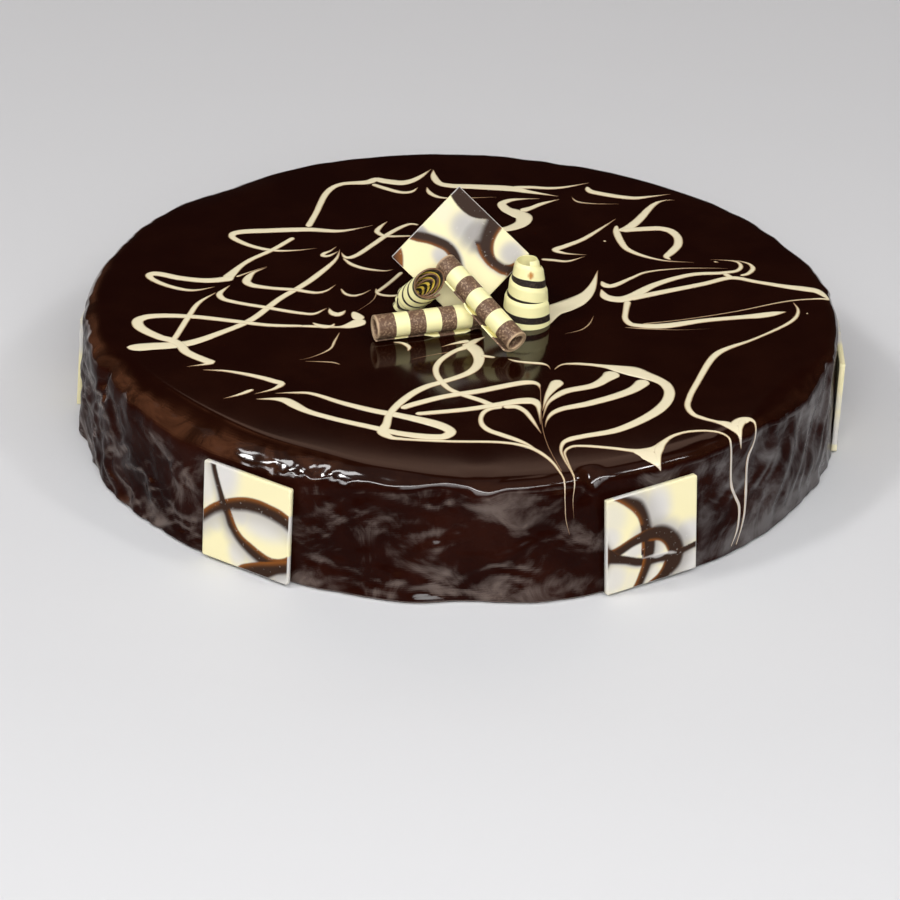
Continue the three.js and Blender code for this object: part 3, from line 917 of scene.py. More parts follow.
# %% Feathering: the right
feather("right", {
    "great petal": [
        (553.9, 369.8, 0.5), (561, 365, 1.2), (574.3, 363.7, 2), (604.9, 366.3, 3), (621.2, 369.2, 6),
        (633.5, 371.5, 7.5), (645.7, 375.5, 6), (658, 380, 4.8), (666, 385, 4.4), (669.5, 392, 4.2),
        (667.5, 400, 4.3), (660, 408.6, 4.5), (645.7, 417.8, 4.2), (617, 430, 3.7), (584.5, 436, 3.2),
        (570.2, 439.2, 3), (563, 443.3, 2), (561, 450.4, 1.4), (564, 458.6, 1.2), (574.3, 479, 0.8),
        (573, 500, 0.4), (574, 520, 0.2),
    ],
    "upper petal": [
        (615, 371.8, 8), (607, 378, 5), (594.7, 385, 4), (566, 391.2, 3.6), (556, 396.3, 2.8),
        (547.8, 403.5, 1.5), (542.2, 419.8, 0.3),
    ],
    "middle petal": [
        (645.7, 380, 6), (635.5, 388.2, 4.6), (621.2, 394.3, 4.2), (588.6, 403.5, 3.8), (560, 409.6, 3),
        (550.8, 414.7, 2), (546.7, 420.8, 1), (545, 428, 0.3),
    ],
    "teardrop": [
        (560, 380, 3), (558, 382, 4.8), (551.8, 389.2, 3.5), (546.7, 397.3, 2), (542.2, 411.6, 0.3),
    ],
    "short arc": [
        (507, 358.6, 0.6), (515, 361, 1.6), (529.4, 362.7, 2), (541.6, 363.7, 2), (547.8, 365.7, 1),
        (550.8, 369.8, 0.3),
    ],
    "oval bar": [(480, 355.5, 2.5), (490.6, 357, 2), (495.7, 357.6, 1.5)],
    "pencil hook": [(392.7, 342.2, 1), (402.9, 343.3, 2), (409, 347.3, 2), (408, 351.4, 0.6)],
})

# %% [markdown]
# Further right, one line wanders to the edge and runs down the side in two thin drips, with a little web
# of chocolate where it pooled at the crest. A drip could be a round bead, but these are thin, so they are
# the same ribbons, laid on the lumpy side.

# %% Feathering: the drips
feather("drips on the right", {
    "left drip": [
        (574.8, 477.7, 0.9), (568.2, 462.8, 1.1), (564.9, 452, 1.3), (571.3, 446.8, 1.8),
        (582.4, 445.9, 2), (615, 448.4, 2.2), (631.4, 450.4, 2.6), (645.7, 451, 4), (656, 448, 3.4),
        (663, 442.2, 2.4), (672, 436.4, 2), (683, 432.6, 1.8), (695, 431, 1.8), (709.2, 430.9, 1.7),
        (720.8, 432.9, 1.6), (729, 437.9, 1.3), (731, 446.2, 1.2), (731.5, 486, 1.3),
        (735.7, 497.6, 1.35), (739, 505.9, 1.35), (737.3, 529, 1.2), (730.7, 547.3, 0.6),
    ],
    "web": [
        (632, 450.8, 2.6), (640, 452.2, 4.4), (647, 454.4, 6.4), (652, 457.6, 6), (656.4, 462.2, 3.6),
        (659.4, 467.2, 1.5), (661, 472, 0.3),
    ],
    "web, right": [
        (668, 438.6, 2.2), (662.5, 443.6, 2.8), (658.8, 449, 3.6), (657.9, 455, 2.7), (658.9, 462, 1.8),
        (660.6, 468, 0.6), (661, 472, 0.3),
    ],
    "wanderer": [
        (793, 302.2, 0.5), (798, 309.4, 1.4), (797, 315.5, 1.8), (791, 321.6, 1.9), (754.3, 339, 1.7),
        (727.8, 348.2, 2.6), (717.6, 353.3, 3), (710.4, 360.4, 2.9), (697, 382.9, 2.6), (690, 396, 2.5),
        (687.6, 406, 2.5), (692.6, 413.8, 2.5), (702.5, 418, 2.4), (716, 421.6, 2.2), (727, 424.2, 4.2),
        (735, 428.4, 4.2), (739.6, 435, 1.9), (741, 449, 0.3),
    ],
    "right drip": [
        (732, 426, 3), (738, 422.4, 4.4), (744, 420, 4.4), (749.5, 419.4, 3), (753.6, 421.4, 1.8),
        (755.6, 426, 1.1), (755.2, 437, 1.25), (752.6, 446, 1.35), (749, 454.4, 1.45),
        (747.2, 462.4, 1.45), (744.8, 509.2, 1.35), (742.3, 524, 1.25), (735.7, 545.7, 0.6),
    ],
    "drip web": [
        (745, 419.6, 3), (741.4, 423, 3), (740, 428, 2.2), (740.2, 434, 1.7), (740.8, 441, 1),
        (741, 450, 0.3),
    ],
}, before=7)

# %% [markdown]
# The back was piped in long level lines that hook round at their ends. From the front they look close
# together, because the top is seen at a slant. The lines of sight spread them out again by themselves.

# %% Feathering: the back
feather("back", {
    "thin line": [
        (601, 280.8, 0.5), (605, 285, 3.6), (611.4, 286, 3.2), (631.8, 277.8, 2), (644, 272.7, 1.7),
        (678.8, 268.6, 1.1), (717.6, 268.2, 0.6), (729.8, 268.6, 0.3),
    ],
    "upper line": [
        (601, 289, 0.5), (605, 296, 4), (615.5, 299.2, 5), (627.8, 298, 5), (654.3, 284.9, 3.6),
        (691, 274.7, 3), (723.7, 272.7, 2.6), (738, 270.2, 2.2), (741, 266.5, 2), (738, 262.4, 1.6),
        (713.5, 259.4, 0.4),
    ],
    "long hairpin": [
        (627.8, 299, 4), (662.4, 292, 3.6), (703.3, 283.9, 3.2), (731.8, 277.8, 3), (756.3, 281.8, 2.8),
        (789, 287, 3.6), (805.3, 289, 4.2), (817.6, 291.4, 3.8), (824.7, 296, 3), (827.8, 299, 2),
        (819.6, 298.8, 1.6), (789, 301, 1.2), (736, 311.4, 0.9), (682.9, 319.6, 0.8), (642, 324, 1),
    ],
    "link": [(723.7, 273.2, 2.5), (732.9, 278.8, 3)],
    "hook": [
        (740, 275.7, 1.8), (748, 273.7, 2.2), (753, 268.6, 2.3), (750, 264.5, 1.7), (740, 261.4, 1),
        (709.4, 259.4, 0.3),
    ],
    "tick": [(713, 261.5, 1.4), (719, 262.5, 1)],
    "lower line": [
        (627.8, 301, 3), (625.7, 311.4, 2.5), (625.3, 318.6, 2.6), (629.8, 323.7, 3), (638, 325.5, 3.2),
        (662.4, 326, 4.2), (703.3, 320.6, 3.3), (744, 317, 3.4), (760.4, 315.5, 4.2), (774.7, 313.5, 3.4),
        (787, 311.8, 0.5),
    ],
    "brown underline": [(623.7, 327.3, 0.5), (640, 328.4, 1), (680.8, 329.8, 0.5), (723.7, 327.8, 0.2)],
    "swoosh": [
        (544, 324.7, 4), (552, 311.5, 8), (564.5, 306.3, 8.5), (576.7, 301, 7.5), (587, 294, 5),
        (593, 285, 3), (598, 269.6, 0.3),
    ],
})

# %% [markdown]
# Along the far edge the lines are shorter, with a curl, a wedge and an open ring. Seen so flat, a pixel
# is twice as deep as it is wide, so their points are given to a fraction of one.

# %% Feathering: the far edge
feather("far edge", {
    "top line": [
        (433.3, 169.4, 0.4), (433.9, 176.5, 3), (439, 183, 3.5), (449.2, 185.5, 4), (475.7, 186.7, 4.6),
        (512.4, 188.8, 5), (528.8, 191.8, 3.2), (559.4, 196.5, 0.4),
    ],
    "top branch": [
        (512, 187.5, 3), (530.8, 187.3, 2.8), (549.2, 188.2, 2.6), (563.5, 187.3, 2), (590, 182.7, 0.4),
    ],
    "second line": [
        (426.7, 186.7, 0.4), (428.8, 191.8, 2.2), (434.9, 195.9, 2.4), (445, 198, 1.6), (498, 197, 0.3),
    ],
    "right dash": [
        (587, 186.7, 1.5), (589, 190.4, 3.2), (602, 193.9, 3.5), (632.9, 198, 3), (647, 197, 2),
        (671.6, 193.9, 0.3),
    ],
    "brown dash": [(571.6, 197, 0.5), (575.7, 201, 1.2), (590, 203.5, 1), (620.6, 204, 0.3)],
    "curl": [
        (541, 198.6, 0.4), (522.7, 199, 1.6), (508.4, 200.6, 3.2), (501.8, 204, 3.8), (506.3, 209.2, 5),
        (516.5, 213.3, 7), (524, 217.3, 7), (522.7, 222.4, 6), (512.4, 227.6, 5), (494, 231, 3),
    ],
    "curl branch": [(520.6, 211, 4.5), (530.8, 208, 3), (541, 204, 2.6), (560.4, 199, 0.4)],
    "wedge": [
        (616.5, 218.4, 0.4), (596, 231.6, 2), (581.8, 239.8, 2.6), (565.5, 246, 3), (555.3, 250, 3.2),
        (563.5, 253, 2), (588, 255, 0.3),
    ],
    "wedge foot": [(541, 259.2, 2), (553.3, 260.2, 2.2), (567.6, 261.2, 1.8), (586, 256, 0.3)],
    "ring stem": [
        (675.7, 200, 0.4), (663.5, 200.6, 1.2), (653.3, 205, 2.6), (637, 221.4, 4), (626.7, 228.6, 4),
        (618.6, 231, 3),
    ],
    "ring, lower": [
        (616.5, 225.5, 1.5), (616.5, 231.6, 3), (624.7, 247, 3), (635, 253, 2.6), (661.4, 260.2, 1.4),
        (695, 262.5, 0.3),
    ],
    "ring, upper": [
        (620.6, 230.6, 3.5), (649.2, 228.6, 4), (661.4, 228.6, 4), (671.6, 231.6, 4), (677.8, 237.8, 3.6),
        (677.8, 245, 3.6), (671.6, 252, 3.6), (666.5, 257, 2.8), (671, 260, 0.8),
    ],
    "dot": [(603, 241.2, 2), (606.5, 241.2, 2)],
    "far dot": [(806, 313.5, 1.6), (808.5, 313.5, 1.6)],
    "smudge": [(594, 315, 0.3), (590, 323, 0.8), (583, 329, 0.8), (564, 334, 0.3)],
}, before=9)

# %% [markdown]
# The finish of the white chocolate reads the value stored at each point: brown at the rim, where it
# mixed with the glaze, and cream within half a millimetre. Thin tails never get that deep, so they stay
# brown by themselves. On the steep side it drained to a greyer white. An even cream with a blurred edge
# would be simpler, but would look laid on top and not mixed in.

# %% White chocolate
RIM_RAMP = [
    (0.0, (0.030, 0.011, 0.007, 1)),
    (0.16, (0.17, 0.085, 0.042, 1)),
    (0.36, (0.47, 0.345, 0.20, 1)),
    (0.62, (0.76, 0.675, 0.46, 1)),
    (1.0, (0.80, 0.715, 0.495, 1)),
]
DRIP = (0.54, 0.49, 0.45, 1)
# upward part of the normal, and distance from the rim, over which chocolate looks drained
STEEP = (0.8, 0.3)
WELL_IN = (0.2, 0.7)
WHITE_IOR = 1.45
WHITE_DRIFT = (0.3, 0.7)
WHITE_ROUGH = (0.16, 0.24)

white, tree, shader = finish_named("white_feathering")
rim = add(tree, "Attribute", attribute_name="rim").outputs["Fac"]
ramp = add(tree, "ValToRGB", {"Fac": rim})
while len(ramp.color_ramp.elements) < len(RIM_RAMP):
    ramp.color_ramp.elements.new(1.0)
for stop, (position, colour) in zip(ramp.color_ramp.elements, RIM_RAMP):
    stop.position = position
    stop.color = colour
upward = add(tree, "SeparateXYZ", {0: add(tree, "NewGeometry").outputs["True Normal"]}).outputs["Z"]
drained = math_of(tree, "MULTIPLY", eased(tree, upward, *STEEP), eased(tree, rim, *WELL_IN))
tree.links.new(mixed(tree, drained, ramp.outputs["Color"], DRIP), shader.inputs["Base Color"])
place = add(tree, "TexCoord").outputs["Object"]
drift = add(tree, "TexNoise", {"Vector": place, "Scale": 60.0, "Detail": 3.0})
rough = eased(tree, drift.outputs["Fac"], *WHITE_DRIFT, *WHITE_ROUGH)
tree.links.new(rough, shader.inputs["Roughness"])
shader.inputs["IOR"].default_value = WHITE_IOR

feathering = mesh_object("white_feathering", ribbon_points, ribbon_faces, white)
store(feathering, "rim", ribbon_rims)
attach(feathering, "root")
print("feathering:", len(feathering.data.polygons), "faces")

# %% [markdown]
# The squares are thin marbled chocolate, cut from a sheet, with crisp edges and slightly rounded
# corners. The marbling goes through the sheet. It could be painted on an image, but then it would be
# tied to one size, so each face is a fine grid of points, and every point stores how pale, how dark and
# how amber the chocolate is there. The outermost points stay plain cream, as the real rims look.
# A square has its middle at its origin and its face towards -Y.

# %% Chocolate squares
TILE_SIZE = 33.2
TILE_THICKNESS = 1.9
TILE_CORNER = 0.5
TILE_EDGE = 0.12
FACE_CELLS = 110


def square_slab(name, size, material, painted):
    """A chocolate square. painted(x, z) gives the values to store at points of the face."""
    half = size / 2
    steps = np.linspace(-half, half, FACE_CELLS + 1)
    x, z = np.meshgrid(steps, steps)
    values = painted(x, z)
    for key in ("dark", "amber"):
        values[key][[0, -1], :] = 0
        values[key][:, [0, -1]] = 0
    past_x = np.maximum(np.abs(x) - half + TILE_CORNER, 0)
    past_z = np.maximum(np.abs(z) - half + TILE_CORNER, 0)
    pull = 1 - 1 / np.maximum(np.hypot(past_x, past_z) / TILE_CORNER, 1)
    x, z = x - np.sign(x) * past_x * pull, z - np.sign(z) * past_z * pull
    depth = np.full(x.shape, TILE_THICKNESS / 2)
    depth[[0, -1], :] -= TILE_EDGE
    depth[1:-1, [0, -1]] -= TILE_EDGE
    sides = [np.stack([x, y, z], axis=2).reshape(-1, 3) for y in (-depth, depth)]
    index = np.arange(x.size).reshape(x.shape)
    front = np.stack([index[:-1, :-1], index[:-1, 1:], index[1:, 1:], index[1:, :-1]], axis=2)
    front = front.reshape(-1, 4)
    back = front[:, ::-1] + x.size
    loop = np.concatenate([index[0, :-1], index[:-1, -1], index[-1, :0:-1], index[:0:-1, 0]])
    ahead_of = np.roll(loop, -1)
    edge = np.stack([loop, loop + x.size, ahead_of + x.size, ahead_of], axis=1)
    made = mesh_object(name, np.concatenate(sides), np.concatenate([front, back, edge]).tolist(), material)
    for key, value in values.items():
        store(made, key, np.tile(value.reshape(-1), 2))
    return made


print("a square's face has", FACE_CELLS, "cells each way")

# %% [markdown]
# The squares were pressed on by hand, so each leans, twists and sinks in by its own amount. A ring of even
# copies would be quicker, and would look stamped. Each is turned at the origin, moved out to the wall, and
# swung round the cake to its bearing.

# %% Places of the squares
TILE_FACE_RADIUS = 129.0


def leaning(lean, twist, yaw):
    """Leans a square back, twists it in its own plane and turns it about the upright, in degrees."""
    turns = (-math.radians(lean), math.radians(twist), math.radians(yaw))
    return Euler(turns, "YXZ").to_matrix().to_4x4()


def on_the_side(at, height, lean, twist, yaw, sunk):
    """Stands a square against the cake's side."""
    out = Vector((0, -TILE_FACE_RADIUS + sunk + TILE_THICKNESS / 2, height)) * MM
    return Matrix.Rotation(math.radians(at), 4, "Z") @ Matrix.Translation(out) @ leaning(lean, twist, yaw)


tile_places = {name: on_the_side(*place) for name, place in SIDE_TILES.items()}
print(len(tile_places), "squares on the side")

# %% [markdown]
# Marbled sheet: dark chocolate dragged through white in sweeps. Every sweep has one crisp edge, where it
# thins to amber, and one soft edge, where it sinks under the white and leaves a grey veil. A sweep is
# a few points of the picture along its crisp edge, each with the dark width there in pixels, and the dark
# lies to the right of the way they run. Lines of sight carry the points to the square's face.

# %% Sweeps on a face
PIXELS_PER_MM = 2.52
TRACED_ON_FACE = 16


def on_face(place, x, y):
    """Where a pixel's line of sight meets a square's face: the square's own X and Z in millimetres."""
    back = place.inverted()
    start, heading = back @ (eye * MM), back.to_3x3() @ line_of_sight(x, y)
    spot = start - heading * ((start.y + TILE_THICKNESS / 2 * MM) / heading.y)
    return spot.x / MM, spot.z / MM


def faced(place, pixels):
    """A smooth line on a square's face through points of the picture, with its width in millimetres."""
    line = smooth_line(pixels, TRACED_ON_FACE * len(pixels))
    return np.array([[*on_face(place, x, y), width / PIXELS_PER_MM] for x, y, width in line])


def step_up(value, start, end):
    """0 before the start, 1 past the end, and eased between them."""
    share = np.clip((value - start) / (end - start), 0, 1)
    return share * share * (3 - 2 * share)


def into_dark(x, z, line):
    """How far each point lies to the right of a line, and the line's width there."""
    gaps = (x[..., None] - line[:, 0]) ** 2 + (z[..., None] - line[:, 1]) ** 2
    nearest = gaps.argmin(axis=-1)
    way = np.gradient(line[:, :2], axis=0)[nearest]
    spot = line[nearest]
    right = (x - spot[..., 0]) * way[..., 1] - (z - spot[..., 1]) * way[..., 0]
    return np.sign(right) * np.sqrt(gaps.min(axis=-1)), spot[..., 2]


print("eased step:", [round(float(step_up(v, 0, 1)), 2) for v in (0, 0.25, 0.5, 0.75, 1)])

# %% [markdown]
# To paint a face, clouds of grey come first, then each sweep over what is there, as they were poured. A
# scratch takes the dark off again. The result is a function of a place on the face, so the same painting
# can be turned and used on another square.

# %% Painting a face
CRISP = 0.28
HAZE = 0.3
SCRATCH = 0.6
THIN_RUST = 0.01


def marbling(place, sweeps, clouds, scratches=()):
    """A function that paints a face with sweeps, grey clouds and pale scratches read off the picture."""
    lines = [(faced(place, pixels), soft, veil, rust) for soft, veil, rust, pixels in sweeps.values()]
    spots = []
    for x, y, wide, high, amount in clouds:
        spots.append((*on_face(place, x, y), wide / PIXELS_PER_MM, high / PIXELS_PER_MM, amount))
    marks = [faced(place, pixels) for pixels in scratches]

    def painted(x, z):
        pale, dark, amber = 0 * x, 0 * x, 0 * x
        for mid_x, mid_z, wide, high, amount in spots:
            away = ((x - mid_x) / wide) ** 2 + ((z - mid_z) / high) ** 2
            cloud = np.exp(-(away**2))
            pale = np.maximum(pale, min(amount, 1) * cloud)
            dark = np.maximum(dark, max(amount - 1, 0) * cloud)
        for line, soft, veil, rust in lines:
            depth, width = into_dark(x, z, line)
            soft, veil, rust = soft / PIXELS_PER_MM, veil / PIXELS_PER_MM, rust / PIXELS_PER_MM
            crisp = step_up(depth, -CRISP, CRISP)
            stroke = crisp * (1 - step_up(depth, width - soft, width + soft))
            haze = step_up(depth, 0, 2 * CRISP) * (1 - step_up(depth, width - soft, width + soft + veil))
            pale = np.maximum(pale, haze)
            amber = amber * (1 - stroke) + stroke * (1 - step_up(depth, 0, rust + THIN_RUST)) ** 2
            dark = 1 - (1 - dark) * (1 - np.maximum(stroke, HAZE * haze))
        for line in marks:
            depth, width = into_dark(x, z, line)
            mark = step_up(depth, -CRISP, CRISP) * (1 - step_up(depth, width - CRISP, width + CRISP))
            dark, pale = dark * (1 - SCRATCH * mark), np.maximum(pale, mark)
        return {"pale": pale, "dark": dark, "amber": amber}

    return painted


print("a sweep's crisp edge is", CRISP, "mm wide")

# %% [markdown]
# The left square shows an eye: a lid, a lash that crosses it and curves round below, and a dark foot. Noise
# would give a marbling of some kind, but not this one, so its sweeps are listed.

# %% Marbling: the left square
# soft edge, veil and amber rim in pixels, then points
EYE_SWEEPS = {
    "lid": (3.2, 13, 7, [
        (196, 515, 8), (203, 509.5, 8.5), (210, 504.5, 9), (219, 500.5, 9.5), (226, 498.6, 10.5),
        (235, 497.3, 12), (243, 497, 12.5), (250, 497.8, 13), (260, 500.5, 13), (270, 505, 13),
        (280, 510, 13.5), (288, 516, 13), (296, 523, 13),
    ]),
    "lash, upper": (2, 6, 0, [
        (214, 455, 5.2), (216, 465, 5.4), (217.5, 472, 5.6), (220, 482, 5.6), (223.5, 494, 6),
        (226.5, 503, 7.2), (229, 508, 7.5), (231.5, 513, 7.5), (235, 523, 8.2),
    ]),
    "lash, lower": (3, 10, 6.5, [
        (231.5, 513, 7.5), (235, 523, 8.2), (239, 531, 8.8), (244, 537.5, 9.6), (251, 543.5, 11),
        (260, 551, 11.5), (268, 556.5, 12), (273, 558.5, 13), (280, 559, 13.5), (285, 557.8, 13.5),
        (292, 554.5, 13.5),
    ]),
    "foot": (2, 7, 7, [
        (230, 572, 6), (237, 567, 8), (241, 564.5, 10), (248, 563, 13), (258, 562, 16), (268, 562, 13),
        (278, 561.5, 10.5), (296, 560, 10),
    ]),
}
# middle, half width and half height in pixels, and how pale, or grey above 1
EYE_CLOUDS = [
    (224, 474, 15, 26, 1.0), (207, 480, 10, 24, 0.9), (264, 524, 26, 15, 0.9), (240, 515, 12, 10, 0.9),
    (238, 552, 10, 14, 0.9), (211, 520, 14, 9, 0.8), (281, 578, 12, 9, 1.0),
]
eye_paint = marbling(tile_places["side_tile_front_left"], EYE_SWEEPS, EYE_CLOUDS)
print(len(EYE_SWEEPS), "sweeps on the left square")

# %% [markdown]
# The right square shows a ring with a bar through it, an arch above, and a scratch across the bar. It is
# made in the same way, with more and shorter sweeps, because its lines are shorter and cross more.

# %% Marbling: the right square
RING_SWEEPS = {
    "arch": (3.4, 14, 6.5, [
        (641.5, 548, 9), (641.3, 538, 9.5), (641, 531, 10), (640, 525, 10.5), (637.5, 518, 11),
        (632.5, 511.8, 12), (625, 506.3, 9.5), (617, 502, 6.5), (609, 499.5, 3), (603, 498.5, 2),
    ]),
    "spoke": (1.8, 4, 1.5, [
        (642.5, 562, 9), (643.5, 556, 10), (644.2, 550, 10.5), (643.7, 543, 11), (642.5, 536, 10),
    ]),
    "ramp": (1.2, 0, 4, [
        (598, 557, 9), (605, 551, 10), (612.5, 549.5, 9.5), (620, 545.5, 9), (630, 538.8, 8.8),
        (641, 532.3, 9.5), (648, 529, 8), (655, 527, 2),
    ]),
    "dome": (3.2, 10, 4, [
        (669, 560, 13), (668.5, 556, 14), (668, 552, 15), (666.5, 548.3, 15.5), (664, 544.2, 15),
        (660, 541.2, 14.5), (655.5, 540.5, 14), (650, 541, 12),
    ]),
    "ring, lower": (3, 12, 4.5, [
        (642, 587, 6), (650, 580.5, 9), (657, 574.5, 11.5), (661.5, 568, 13), (664, 562, 15),
        (667, 555, 16),
    ]),
    "bar": (1.6, 3, 0, [
        (598, 546, 20), (604, 547.5, 19), (611, 550, 15), (618, 554.5, 9), (628, 556.3, 7.5),
        (640, 558, 7.5), (650, 557, 7), (660, 554.5, 7), (670, 552.5, 7), (684, 546.5, 5.6),
        (698, 539.5, 5.6), (704, 536.5, 5.6),
    ]),
    "heel": (2.2, 4, 6, [
        (629, 596, 8), (632.5, 588, 8.5), (636, 581, 8.5), (639, 573, 9), (641.5, 566, 9), (643, 560, 8),
    ]),
    "flame": (3, 4, 9, [(603, 576, 2), (603, 568, 6), (603, 558, 9), (603, 549, 6), (603, 541, 2)]),
}
RING_CLOUDS = [
    (657, 508, 14, 22, 1.0), (688, 532, 20, 12, 1.0), (612, 580, 16, 16, 0.9), (630, 582, 12, 12, 0.5),
    (688, 562, 18, 18, 1.0), (609, 540, 12, 14, 0.9), (612, 520, 14, 18, 0.6), (634, 551, 11, 8, 0.9),
    (656, 549, 10, 9, 0.9), (652, 573, 9, 10, 0.8),
]
RING_SCRATCHES = [
    [(643, 558, 0.5), (650, 555.5, 1.6), (656, 553.5, 4), (661, 552.8, 3.5), (666, 551.5, 2.2),
     (672, 551, 2.4), (676, 552, 0.8)],
]
ring_paint = marbling(tile_places["side_tile_front_right"], RING_SWEEPS, RING_CLOUDS, RING_SCRATCHES)
print(len(RING_SWEEPS), "sweeps on the right square")

# %% [markdown]
# All squares share one finish, which turns the stored values into colour. A little pale dust lies on the
# dark. The faces of the other squares can't be seen, so they repeat these two, turned by quarters. A new
# painting for each would be finer, but it would be invented.

# %% Squares on the side
CREAM = (0.83, 0.755, 0.46, 1)
PALE = (0.64, 0.615, 0.585, 1)
UMBER = (0.030, 0.0130, 0.0065, 1)
AMBER = (0.215, 0.068, 0.010, 1)
MARBLE_SPECULAR = 0.1
DUST_RANGE = (0.64, 0.76)
DUST_MOST = 0.35
FLECK_RANGE = (0.3, 0.75)
MARBLE_ROUGH = (0.28, 0.42)
# how each square was cut: which face, and by how many quarters it is turned
CUTS = {
    "side_tile_front_left": (eye_paint, 0),
    "side_tile_front_right": (ring_paint, 0),
    "side_tile_right": (ring_paint, 3),
    "side_tile_back_right": (ring_paint, 1),
    "side_tile_back_left": (eye_paint, 2),
    "side_tile_left": (eye_paint, 1),
}

marble, tree, shader = finish_named("marbled_chocolate")
pale = add(tree, "Attribute", attribute_name="pale").outputs["Fac"]
dark = add(tree, "Attribute", attribute_name="dark").outputs["Fac"]
amber = add(tree, "Attribute", attribute_name="amber").outputs["Fac"]
place = add(tree, "TexCoord").outputs["Object"]
flecks = add(tree, "TexNoise", {"Vector": place, "Scale": 900.0, "Detail": 3.0}).outputs["Fac"]
dust = eased(tree, flecks, *DUST_RANGE, 0.0, DUST_MOST)
stroke = mixed(tree, dust, mixed(tree, amber, UMBER, AMBER), PALE)
colour = mixed(tree, dark, mixed(tree, pale, CREAM, PALE), stroke)
tree.links.new(colour, shader.inputs["Base Color"])
tree.links.new(eased(tree, flecks, *FLECK_RANGE, *MARBLE_ROUGH), shader.inputs["Roughness"])
bump = add(tree, "Bump", {"Strength": 0.06, "Distance": 0.0003, "Height": flecks})
tree.links.new(bump.outputs["Normal"], shader.inputs["Normal"])
shader.inputs["Specular IOR Level"].default_value = MARBLE_SPECULAR


def turned_by_quarters(painted, quarters):
    """The same painting on a square turned by quarters."""
    c, s = round(math.cos(quarters * math.pi / 2)), round(math.sin(quarters * math.pi / 2))
    return lambda x, z: painted(c * x - s * z, s * x + c * z)


for name, (painted, quarters) in CUTS.items():
    tile = square_slab("marbled_" + name, TILE_SIZE, marble, turned_by_quarters(painted, quarters))
    tile.matrix_world = tile_places[name]
    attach(tile, "root")
    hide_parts(name)
    low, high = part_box(name)
    print(name, "CAD middle", [round(v / MM, 1) for v in (low + high) / 2],
          "here", [round(v / MM, 1) for v in tile.matrix_world.translation])

# %% [markdown]
# The plaque is one more square of the same sheet, pressed into the top on its corner and leaning back. It
# could be a copy of a side square, but it stands in the middle of the view, so it has sweeps of its own.
# It is turned onto its corner first, then leant, then moved to the place where the corner sits.

# %% Plaque
PLAQUE_SIZE = 32.6
PLAQUE_CORNER = Vector((0.9, -12.1, 39.9))
PLAQUE_LEAN = (22, -0.9, 4)
PLAQUE_SWEEPS = {
    "top patch": (2, 0, 0, [
        (494, 219.3, 22), (487, 219.1, 22), (481.2, 219, 20), (471.5, 216.8, 18), (463.8, 212, 18),
        (457.1, 205.2, 18), (451.3, 196.6, 16), (448, 188, 14),
    ]),
    "S": (3.2, 3, 5, [
        (506, 221, 16), (503, 226, 15.5), (501.3, 229.3, 15), (497.5, 235, 14), (494.6, 241.8, 13),
        (493.7, 249.5, 14), (495, 256.2, 9.5), (498.5, 262, 7), (504.2, 264.8, 7), (511, 264, 7),
        (518, 260, 8),
    ]),
    "S, lower edge": (2, 0, 5, [
        (512, 279, 9), (505.2, 275.4, 9), (500.4, 274.1, 9), (494.6, 270.6, 9), (486.9, 264.8, 9),
        (480.2, 255.2, 8), (477, 247, 5),
    ]),
    "arc": (1.6, 2, 4.5, [
        (453.5, 272, 8.5), (450.5, 260, 9), (444.6, 251.4, 9), (435.4, 246.6, 9), (427.3, 243.7, 9),
        (417.7, 241.8, 9), (411, 239.8, 8), (403, 238, 8),
    ]),
    "corner": (2, 0, 14, [
        (400, 243, 14), (401.3, 248.5, 14), (402.7, 253.3, 14), (403.3, 262.9, 14), (403, 268, 14),
    ]),
}
PLAQUE_CLOUDS = [
    (466, 226, 14, 14, 1.3), (475, 232, 11, 16, 1.5), (480, 240, 7, 13, 1.6), (512, 254, 11, 11, 1.25),
    (441, 256, 9, 7, 1.15), (421, 231, 12, 4.5, 1.45), (444, 212, 14, 10, 0.35),
]

half_way_up = Vector((0, 0, PLAQUE_SIZE / math.sqrt(2)))
stood = Matrix.Translation(half_way_up * MM) @ Matrix.Rotation(math.pi / 4, 4, "Y")
plaque_place = Matrix.Translation(PLAQUE_CORNER * MM) @ leaning(*PLAQUE_LEAN) @ stood
plaque_paint = marbling(plaque_place, PLAQUE_SWEEPS, PLAQUE_CLOUDS)
plaque = square_slab("marbled_plaque", PLAQUE_SIZE, marble, plaque_paint)
plaque.matrix_world = plaque_place
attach(plaque, "root")
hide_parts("plaque")
low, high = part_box("plaque")
print("plaque CAD middle", [round(v / MM, 1) for v in (low + high) / 2],
      "here", [round(v / MM, 1) for v in plaque.matrix_world.translation])

# %% [markdown]
# Pencils and curls are thin striped sheet, rolled up. A tube would show no free edge and no turns in its
# mouth, so a roll is a spiral band in section. Its two edges lie at heights that depend on the turn, and
# its radius may change with the turn and the height, so one function makes a pencil, a cone or a scroll.
# Each point also stores how far along the sheet's stripes it lies, whether it is inside, and the cut edge.

# %% Rolled sheet
STEPS_PER_TURN = 48
ROLL_ROWS = 24
EDGE_ROUND = 0.12


